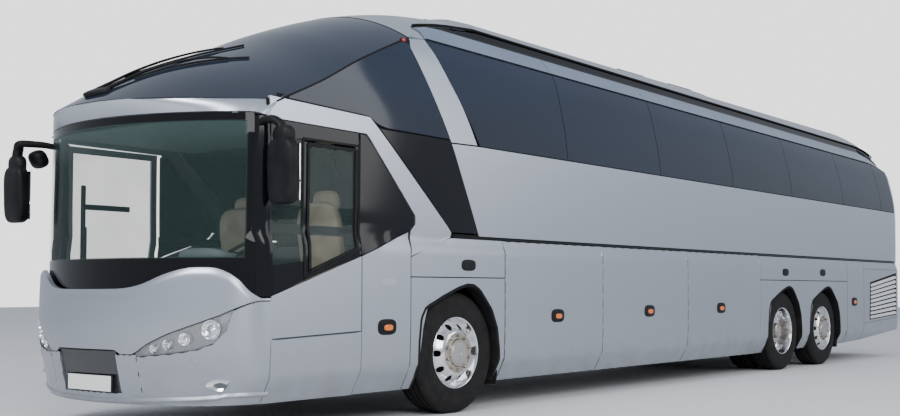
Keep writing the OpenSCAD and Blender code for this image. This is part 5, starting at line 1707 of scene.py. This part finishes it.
class Mirrors(Maker, bpy.types.Operator):
    """Hanging mirrors with their arms, the ramp mirror and the two wipers"""
    bl_idname = "coach.mirrors"
    bl_label = "Mirrors and wipers"

    def execute(self, context):
        shells, arms, glasses = [], [], []
        for side, y, z in ((1, -2.12, 1.85), (-1, -2.425, 1.805)):
            x = side * 1.412
            shells.append(pillow((x, A0 + y, z), (0.262, 0.115, 0.46), 4.2, 0.4, 26, 0.03))
            shells.append(pillow((x, A0 + y + 0.004, z + 0.245), (0.18, 0.11, 0.16), 2.6, 0.2, 18))
            glasses.append(block((x - 0.108, A0 + y + 0.05, z - 0.06), (x + 0.108, A0 + y + 0.0595, z + 0.19)))
            glasses.append(block((x - 0.108, A0 + y + 0.05, z - 0.2), (x + 0.108, A0 + y + 0.0595, z - 0.075)))
            path = np.array([(side * 1.215, -2.16, 2.195), (side * 1.275, -2.155 + 0.5 * (y + 2.12), 2.215),
                (side * 1.345, y - 0.02, 2.21), (side * 1.398, y, 2.16), (side * 1.412, y, 2.08)])
            path = np.stack([smooth(np.linspace(0, 4, 30), np.arange(5), path[:, k]) for k in range(3)], 1)
            arms.append(tube(at_station(path), np.linspace(0.03, 0.046, 30), 16, 0.8))
        o = finish_mesh("mirror_shells", *merge(shells), BODY, moulded_black(), "black_plastic")
        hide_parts("mirrors")
        finish_mesh("mirror_arms", *merge(arms), BODY, moulded_black(), "black_plastic")
        finish_mesh("mirror_glasses", *merge(glasses), BODY, reflector(), "polished_metal")
        ramp = pillow((-1.32, A0 - 2.29, 2.1), (0.17, 0.12, 0.15), 2.8, 0.2, 18, 0.5)
        finish_mesh("ramp_mirror", *ramp, BODY, moulded_black(), "black_plastic")
        parts = []
        for pts in ([(-0.16, -2.575), (-0.02, -2.25), (0.16, -1.86), (0.24, -1.68)],
            [(0.02, -2.575), (0.16, -2.3), (0.42, -2.02), (0.56, -1.9)]):
            p = np.array(pts)
            t = np.linspace(0, 3, 40)
            x, y = smooth(t, np.arange(4), p[:, 0]), smooth(t, np.arange(4), p[:, 1])
            z = brow(x, y) + 0.016 + 0.018 * np.sin(np.pi * t / 3)
            parts.append(tube(at_station(np.stack([x, y, z], 1)), np.interp(t, [0, 0.4, 3], [0.018, 0.011, 0.007]), 8))
            x, y = np.linspace(p[1, 0] - 0.06, p[3, 0] + 0.1, 40), np.linspace(p[1, 1] - 0.1, p[3, 1] + 0.12, 40)
            parts.append(tube(at_station(np.stack([x, y, brow(x, y) + 0.01], 1)), 0.008, 8))
        parts.append(pillow((-0.07, A0 - 2.595, float(brow(-0.07, -2.595)) + 0.01), (0.3, 0.1, 0.05), 3.0, 0.3, 14, 0.5))
        o = finish_mesh("screen_wipers", *merge(parts), BODY, moulded_black(), "black_plastic")
        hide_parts("wipers")
        return {"FINISHED"}


# ---------------------------------------------------------------- makers: wheels

def wheel_disc(centre, side, profile, holes, hole_r, hole_at, r_in, r_out, thick, n=40):
    """Disc with round hand holes: one sector's sheet runs from the hole's circle to the sector's outline, then repeats."""
    half = math.pi / holes
    a = np.linspace(0, 2 * np.pi, n, endpoint=False)
    # boundary of the sector as seen from the hole's centre, in (radius, angle) offsets
    dr, da = np.cos(a), np.sin(a)
    out_r, in_r, wide = r_out - hole_at, hole_at - r_in, half * hole_at
    reach = np.minimum(np.where(dr > 0, out_r, in_r) / np.maximum(np.abs(dr), 1e-6), wide / np.maximum(np.abs(da), 1e-6))
    k = np.linspace(0, 1, 7)[None, :]
    hr = np.stack([hole_r * dr, hole_r * da], 1)[:, None]
    edge = np.stack([reach * dr, reach * da], 1)[:, None]
    p = hr * (1 - k[..., None]) + edge * k[..., None]
    r = hole_at + p[..., 0]
    ang = p[..., 1] / hole_at
    x = smooth(r, profile[0], profile[1])
    parts = []
    for h in range(holes):
        t = ang + 2 * half * h
        pts = [np.stack([centre[0] + side * (x - d), centre[1] + r * np.cos(t), centre[2] + r * np.sin(t)], -1) for d in (0.0,
            thick)]
        m = 7
        v = np.concatenate([pts[0].reshape(-1, 3), pts[1].reshape(-1, 3)])
        f = grid_faces(n, m, 0, True)
        f2 = grid_faces(n, m, n * m, True)[:, ::-1]
        i = np.arange(n)
        j = (i + 1) % n
        wall = np.stack([i * m, i * m + n * m, j * m + n * m, j * m], 1)
        c = v[f]
        normal = np.cross(c[:, 1] - c[:, 0], c[:, 3] - c[:, 0]).sum(0)
        f = np.concatenate([f, f2, wall[:, ::-1]])
        parts.append((v, f if normal[0] * side > 0 else f[:, ::-1]))
    return merge(parts)


def nut_ring(centre, side, radius, x, count, r=0.016, h=0.03):
    """Domed nuts in a ring: one six-sided outline, lifted and narrowed, turned to each place."""
    a = np.linspace(0, 2 * np.pi, 6, endpoint=False)
    rings = np.array([(1.0, 0.0), (1.0, 0.75), (0.72, 0.95), (0.02, 1.0)])
    parts = []
    for k in range(count):
        t = 2 * np.pi * (k + 0.5) / count
        y = centre[1] + radius * math.cos(t) + rings[:, 0][:, None] * r * np.cos(a + t)
        z = centre[2] + radius * math.sin(t) + rings[:, 0][:, None] * r * np.sin(a + t)
        xx = np.broadcast_to(centre[0] + side * (x + rings[:, 1][:, None] * h), y.shape)
        v = np.stack([xx, y, z], -1).reshape(-1, 3)
        f = grid_faces(6, 4, 0, True)
        idx = np.arange(24).reshape(4, 6).T.reshape(-1)
        f = idx[f]
        c = v[f]
        mid = v.mean(0)
        outward = np.einsum("ij,ij->i", np.cross(c[:, 1] - c[:, 0], c[:, 2] - c[:, 0]), c.mean(1) - mid).sum()
        parts.append((v, f if outward > 0 else f[:, ::-1]))
    return merge(parts)


def tyre_mesh(centre, side, width, r_out, r_in, lugs=72):
    """Tyre carcass with a lettering-free sidewall: a turned outline whose tread rings are cut by grooves and sipes."""
    w = width
    prof = [(r_in, 0.03), (r_in + 0.012, 0.008), (r_in + 0.05, 0.0), (r_in + 0.09, -0.004 + 0.004), (r_in + 0.125, 0.004),
        (r_out - 0.055, 0.008),
            (r_out - 0.035, 0.013), (r_out - 0.018, 0.02), (r_out - 0.006, 0.03), (r_out, 0.042)]
    grooves = []
    for c in (0.22, 0.41, 0.59, 0.78):
        x = c * w
        grooves += [(r_out, x - 0.008), (r_out - 0.012, x - 0.006), (r_out - 0.012, x + 0.006), (r_out, x + 0.008)]
    prof = prof + grooves + [(r, w - x) for r, x in prof[::-1]]
    prof = np.array(prof)
    prof[:, 1] = -prof[:, 1]
    n = lugs * 4
    v, f = lathe(prof, centre, side, n)
    m = len(prof)
    p = v.reshape(n, m, 3)
    shoulder = (prof[:, 0] > r_out - 0.03) & (prof[:, 0] < r_out - 0.001) & (np.arange(m) < 11)
    shoulder |= (prof[:, 0] > r_out - 0.03) & (prof[:, 0] < r_out - 0.001) & (np.arange(m) > m - 11)
    cut = (np.arange(n) % 4 == 0)[:, None] & shoulder[None, :]
    d = p - np.array(centre)
    rad = np.sqrt(d[..., 1] ** 2 + d[..., 2] ** 2)
    scale = np.where(cut, (rad - 0.008) / rad, 1.0)
    p[..., 1] = centre[1] + d[..., 1] * scale
    p[..., 2] = centre[2] + d[..., 2] * scale
    return p.reshape(-1, 3), f


class Wheels(Maker, bpy.types.Operator):
    """Tyres with tread, polished discs with hand holes, hub covers and wheel nuts"""
    bl_idname = "coach.wheels"
    bl_label = "Wheels"

    def execute(self, context):
        s = sizes()
        for axle, y in (("front", AXLE[0]), ("drive", AXLE[1]), ("tag", AXLE[2])):
            for side, name in ((1, "left"), (-1, "right")):
                body = f"{axle}_{name}_wheel"
                tyre = f"{axle}_{name}_tyre" + ("s" if axle == "drive" else "")
                rim = f"{axle}_{name}_rim" + ("s" if axle == "drive" else "")
                c = (side * TYRE_OUT, y, WHEEL_Z)
                tyres = [tyre_mesh(c, side, 0.29, TYRE_R, 0.289)]
                if axle == "drive":
                    tyres.append(tyre_mesh((side * (TYRE_OUT - 0.33), y, WHEEL_Z), side, 0.29, TYRE_R, 0.289))
                o = finish_mesh(f"{axle}_{name}_tyre_body", *merge(tyres), body, tyre_rubber(), "tyre")
                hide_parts(tyre)
                if axle != "drive":
                    lip = lathe([(0.289, -0.03), (0.3, -0.022), (0.303, -0.012), (0.298, -0.007), (0.29, -0.012), (0.283, -0.03),
                        (0.277, -0.06), (0.262, -0.075),
                                 (0.256, -0.09), (0.262, -0.25), (0.289, -0.255)], c, side)
                    disc = wheel_disc(c, side, ([0.165, 0.18, 0.205, 0.235, 0.262], [0.012, 0.006, -0.012, -0.045, -0.082]),
                        s.hand_holes, 0.0265, 0.222, 0.168, 0.264, 0.012)
                    hub = lathe([(0.17, 0.012), (0.16, 0.013), (0.128, 0.012), (0.12, 0.014), (0.112, 0.028), (0.1, 0.0295),
                        (0.06, 0.029), (0.001, 0.029), (0.001, -0.03), (0.17, -0.03)], c, side)
                    nuts = nut_ring(c, side, 0.146, 0.011, s.nuts, 0.0155, 0.026)
                    cap = lathe([(0.098, 0.0292), (0.094, 0.0335), (0.06, 0.035), (0.03, 0.035), (0.027, 0.031), (0.001, 0.0305),
                        (0.001, 0.02), (0.098, 0.02)], c, side)
                else:
                    lip = lathe([(0.289, -0.03), (0.3, -0.022), (0.303, -0.012), (0.298, -0.007), (0.29, -0.012), (0.283, -0.03),
                        (0.28, -0.09), (0.272, -0.16),
                                 (0.264, -0.235), (0.266, -0.56), (0.289, -0.58)], c, side)
                    disc = wheel_disc(c, side, ([0.14, 0.165, 0.205, 0.24, 0.268], [-0.195, -0.198, -0.21, -0.222, -0.232]),
                        s.hand_holes, 0.0265, 0.222, 0.155, 0.268, 0.012)
                    hub = lathe([(0.158, -0.196), (0.132, -0.194), (0.112, -0.185), (0.1, -0.11), (0.092, -0.07), (0.08, -0.06),
                        (0.001, -0.058), (0.001, -0.26), (0.158, -0.26)], c, side)
                    nuts = nut_ring(c, side, 0.168, -0.199, s.nuts, 0.0165, 0.034)
                    cap = lathe([(0.07, -0.06), (0.066, -0.054), (0.03, -0.051), (0.001, -0.051), (0.001, -0.07), (0.07, -0.07)],
                        c, side)
                o = finish_mesh(f"{axle}_{name}_rim_metal", *merge([lip, disc]), body, polished(), "polished_metal")
                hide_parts(rim)
                finish_mesh(f"{axle}_{name}_hub_cover", *merge([hub, nuts]), body, satin_alloy(), "polished_metal")
                finish_mesh(f"{axle}_{name}_hub_cap", *cap, body, machined_steel(), "steel")
                back = -0.125 if axle != "drive" else -0.29
                dark = lathe([(0.25, back), (0.001, back), (0.001, back - 0.01), (0.25, back - 0.01)], c, side, 48)
                finish_mesh(f"{axle}_{name}_brake_disc", *dark, body, chassis_black(), "chassis")
        return {"FINISHED"}


# ---------------------------------------------------------------- makers: inside

def seat_pair(x, y, z, parts, pads, rests):
    """Two seats side by side: cushion, leant back and a headrest, on a plain pedestal."""
    for dx in (-0.24, 0.24):
        pads.append(pillow((x + dx, y, z + 0.36), (0.44, 0.46, 0.14), 3.2, 1.0, 10))
        pads.append(pillow((x + dx, y + 0.245, z + 0.68), (0.43, 0.12, 0.66), 3.4, 1.0, 12, 0.16))
        rests.append(pillow((x + dx, y + 0.305, z + 1.06), (0.25, 0.085, 0.17), 3.0, 0.6, 8, 0.16))
    parts.append(block((x - 0.4, y - 0.17, z + 0.003), (x + 0.4, y + 0.13, z + 0.29)))


class Seats(Maker, bpy.types.Operator):
    """Passenger seats on the upper deck and the two cab seats"""
    bl_idname = "coach.seats"
    bl_label = "Seats"

    def execute(self, context):
        lo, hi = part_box("passenger_seats")
        parts, pads, rests = [], [], []
        for row in range(13):
            y = A0 + 0.2 + 0.82 * row
            for side in (1, -1):
                if side < 0 and row in (6, 7):
                    continue
                seat_pair(side * 0.62, y, lo[2], parts, pads, rests)
        o = finish_mesh("passenger_seat_pads", *merge(pads), BODY, woven_seat(), "seat_fabric")
        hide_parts("passenger_seats")
        o = finish_mesh("passenger_headrests", *merge(rests), BODY, cream_leather(), "seat_leather")
        finish_mesh("passenger_seat_stands", *merge(parts), BODY, chassis_black(), "steel")
        pads, stands = [], []
        for x, y, z in ((0.7, -1.33, 0.64), (-0.36, -1.24, 0.64)):
            yy = A0 + y
            pads.append(pillow((x, yy, z + 0.46), (0.5, 0.5, 0.15), 3.2, 1.0, 16))
            pads.append(pillow((x, yy + 0.27, z + 0.78), (0.49, 0.14, 0.62), 3.2, 1.0, 20, 0.14))
            pads.append(pillow((x, yy + 0.33, z + 1.095), (0.28, 0.1, 0.19), 2.8, 0.6, 14, 0.14))
            stands.append(block((x - 0.17, yy - 0.17, z + 0.003), (x + 0.17, yy + 0.17, z + 0.4)))
            stands.append(pillow((x, yy, z + 0.37), (0.44, 0.44, 0.09), 4.0, 0.2, 12))
        o = finish_mesh("cab_seat_pads", *merge(pads), BODY, cream_leather(), "seat_leather")
        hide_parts("driver_seats")
        finish_mesh("cab_seat_stands", *merge(stands), BODY, moulded_black(), "black_plastic")
        return {"FINISHED"}


class Cab(Maker, bpy.types.Operator):
    """Dashboard, steering wheel and the lining seen through the windscreen"""
    bl_idname = "coach.cab"
    bl_label = "Cab"

    def execute(self, context):
        nx = 60
        xs = np.linspace(-1.1, 1.14, nx)
        front = -0.871 + SCREEN_BACK + 0.07 - np.sqrt(NOSE_R**2 - xs**2)
        front = np.maximum(front, -2.6)
        rows = []
        top = smooth(xs, [-1.11, -0.7, 0.0, 0.32, 0.45, 0.7, 0.95, 1.08, 1.15],
            [1.1, 1.12, 1.13, 1.15, 1.21, 1.245, 1.23, 1.16, 1.14])
        back = smooth(xs, [-1.11, -0.4, 0.2, 0.42, 0.7, 0.98, 1.15], [-2.2, -2.16, -2.1, -2.06, -2.05, -2.08, -2.1])
        for k, (u,
            v) in enumerate(((0.0, -0.45), (0.0, -0.1), (0.02, -0.03), (0.12, 0.0), (0.75, 0.012), (0.93, 0.0), (1.0, -0.05),
                (0.98, -0.2), (0.86, -0.42), (0.8, -0.55))):
            rows.append(np.stack([xs, front * (1 - u) + back * u, np.maximum(top + v, 0.648)], 1))
        out = np.stack(rows, 1)
        mid = np.stack([xs, (front + back) / 2, np.full(nx, 0.648)], 1)[:, None]
        ins = np.broadcast_to(mid, out.shape) * 0.15 + out * 0.85
        dash = slab(at_station(out), at_station(ins))
        o = finish_mesh("dash_moulding", *dash, BODY, dash_plastic(), "dash_plastic")
        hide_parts("dashboard")
        hood = pillow((0.7, A0 - 2.19, 1.262), (0.5, 0.26, 0.11), 3.0, 0.4, 18, -0.25)
        finish_mesh("instrument_hood", *hood, BODY, dash_plastic(), "dash_plastic")
        # steering wheel: rim, three spokes, boss and column
        c = np.array([0.7, A0 - 1.85, 1.29])
        ca, sa = math.cos(math.radians(35)), math.sin(math.radians(35))
        e1, e2 = np.array([1.0, 0, 0]), np.array([0, ca, sa])
        nrm = np.cross(e1, e2)
        a = np.linspace(0, 2 * np.pi, 73)[:, None]
        ring = c + 0.215 * (np.cos(a) * e1 + np.sin(a) * e2)
        parts = [tube(ring, 0.014, 10)]
        for t in (math.radians(15), math.radians(165), math.radians(270)):
            d = math.cos(t) * e1 + math.sin(t) * e2
            parts.append(tube(np.array([c + d * 0.04, c + d * 0.21]), 0.014, 8, 0.6))
        parts.append(pillow(tuple(c), (0.13, 0.13, 0.06), 2.6, 0.3, 14, math.radians(35)))
        parts.append(tube(np.array([c - nrm * 0.02, c - nrm * 0.36]), 0.035, 14))
        finish_mesh("steering_wheel", *merge(parts), BODY, moulded_black(), "black_plastic")
        # ceiling of the cab
        deck = [block((-1.12, A0 - 2.3, 2.262), (1.12, A0 - 0.9, 2.272))]
        finish_mesh("cab_ceiling", *merge(deck), BODY, dash_plastic(), "dash_plastic")
        return {"FINISHED"}


CAD_FINISH = {
    "chassis_frame": (chassis_black, "chassis"), "floors": (step_floor, "floor"), "wheel_housings": (inner_black, "chassis"),
    "front_axle": (chassis_black, "chassis"), "rear_axles": (chassis_black, "chassis"), "engine": (cast_iron, "engine_iron"),
    "left_knuckle": (machined_steel, "steel"), "right_knuckle": (machined_steel, "steel"),
    "front_door_arm": (moulded_black, "steel"), "middle_door_arm": (moulded_black, "steel"),
}


class Structure(Maker, bpy.types.Operator):
    """Finishes of the parts that show as they were built"""
    bl_idname = "coach.structure"
    bl_label = "Structure finishes"

    def execute(self, context):
        for node, (maker, _) in CAD_FINISH.items():
            for obj in bpy.data.objects:
                if obj.get("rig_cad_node") == node:
                    for k in range(len(obj.material_slots)):
                        obj.material_slots[k].material = maker()
        return {"FINISHED"}


# ---------------------------------------------------------------- stage

class Stage(Maker, bpy.types.Operator):
    """Pale floor, soft lights and the camera"""
    bl_idname = "coach.stage"
    bl_label = "Stage"

    def execute(self, context):
        scene = context.scene
        v = np.array([(-60, -60, 0), (60, -60, 0), (60, 60, 0), (-60, 60, 0)], float) - np.array([0, 0, 0.001])
        mesh = bpy.data.meshes.new("studio_floor")
        mesh.from_pydata(v.tolist(), [], [(0, 1, 2, 3)])
        floor = bpy.data.objects.new("studio_floor", mesh)
        mesh.materials.append(studio_floor())
        scene.collection.objects.link(floor)
        world = bpy.data.worlds.new("soft sky")
        world.use_nodes = True
        world.node_tree.nodes["Background"].inputs["Color"].default_value = (0.8, 0.86, 0.96, 1)
        world.node_tree.nodes["Background"].inputs["Strength"].default_value = 0.66
        # the camera sees white behind the coach, while the sky that lights it stays blue
        nodes, links = world.node_tree.nodes, world.node_tree.links
        white = nodes.new("ShaderNodeBackground")
        white.inputs["Strength"].default_value = 2.5
        ray, mix = nodes.new("ShaderNodeLightPath"), nodes.new("ShaderNodeMixShader")
        links.new(ray.outputs["Is Camera Ray"], mix.inputs[0])
        links.new(nodes["Background"].outputs[0], mix.inputs[1])
        links.new(white.outputs[0], mix.inputs[2])
        links.new(mix.outputs[0], nodes["World Output"].inputs[0])
        scene.world = world
        for name, place, aim, size, power in (
                ("key", (14.0, -13.0, 9.0), (0, -2, 1.6), 9.0, 1500.0), ("side", (20.0, 8.0, 9.5), (0, 3, 1.6), 14.0, 1500.0),
                ("front", (2.0, -21.0, 13.0), (0, -6, 1.6), 7.0, 2200.0)):
            data = bpy.data.lights.new(name, "AREA")
            data.energy, data.size = power, size
            lamp = bpy.data.objects.new(name, data)
            lamp.location = place
            d = np.array(aim, float) - np.array(place, float)
            yaw = math.atan2(d[1], d[0])
            pitch = math.atan2(d[2], math.hypot(d[0], d[1]))
            lamp.rotation_euler = (math.pi / 2 + pitch, 0, yaw - math.pi / 2)
            scene.collection.objects.link(lamp)
        data = bpy.data.cameras.new("photo camera")
        data.sensor_width, data.lens = 36.0, 46.77
        data.shift_x, data.shift_y = -0.0556, 0.0411
        cam = bpy.data.objects.new("photo camera", data)
        cam.location = (7.44, -11.895, 1.027)
        cam.rotation_euler = (math.radians(92.225), 0, math.radians(36.93))
        scene.collection.objects.link(cam)
        scene.camera = cam
        return {"FINISHED"}


# ---------------------------------------------------------------- add-on

MAKERS = (SidePanels, SideGlass, Flaps, EngineDoors, Doors, FrontMask, Headlamps, Windscreens, Roof, Rear,
          SideTrim, Mirrors, Wheels, Cab, Seats, Structure, Stage)


class CoachPanel(bpy.types.Panel):
    """Lists the makers of the coach"""
    bl_idname = "VIEW3D_PT_coach"
    bl_label = "Touring Coach"
    bl_space_type = "VIEW_3D"
    bl_region_type = "UI"
    bl_category = "Coach"

    def draw(self, context):
        for settings in (context.scene.coach_sizes, context.scene.coach_colours):
            for prop in settings.bl_rna.properties:
                if not prop.is_readonly and prop.identifier != "name":
                    self.layout.prop(settings, prop.identifier)
        for maker in MAKERS:
            self.layout.operator(maker.bl_idname)


CLASSES = (CoachSizes, CoachColours, *MAKERS, CoachPanel)


def register():
    for cls in CLASSES:
        bpy.utils.register_class(cls)
    bpy.types.Scene.coach_sizes = PointerProperty(type=CoachSizes)
    bpy.types.Scene.coach_colours = PointerProperty(type=CoachColours)


def unregister():
    del bpy.types.Scene.coach_colours
    del bpy.types.Scene.coach_sizes
    for cls in reversed(CLASSES):
        bpy.utils.unregister_class(cls)


def main():
    register()
    for maker in MAKERS:
        group, name = maker.bl_idname.split(".")
        if getattr(getattr(bpy.ops, group), name)() != {"FINISHED"}:
            raise RuntimeError(maker.bl_idname + " did not finish")


if __name__ == "__main__":
    main()
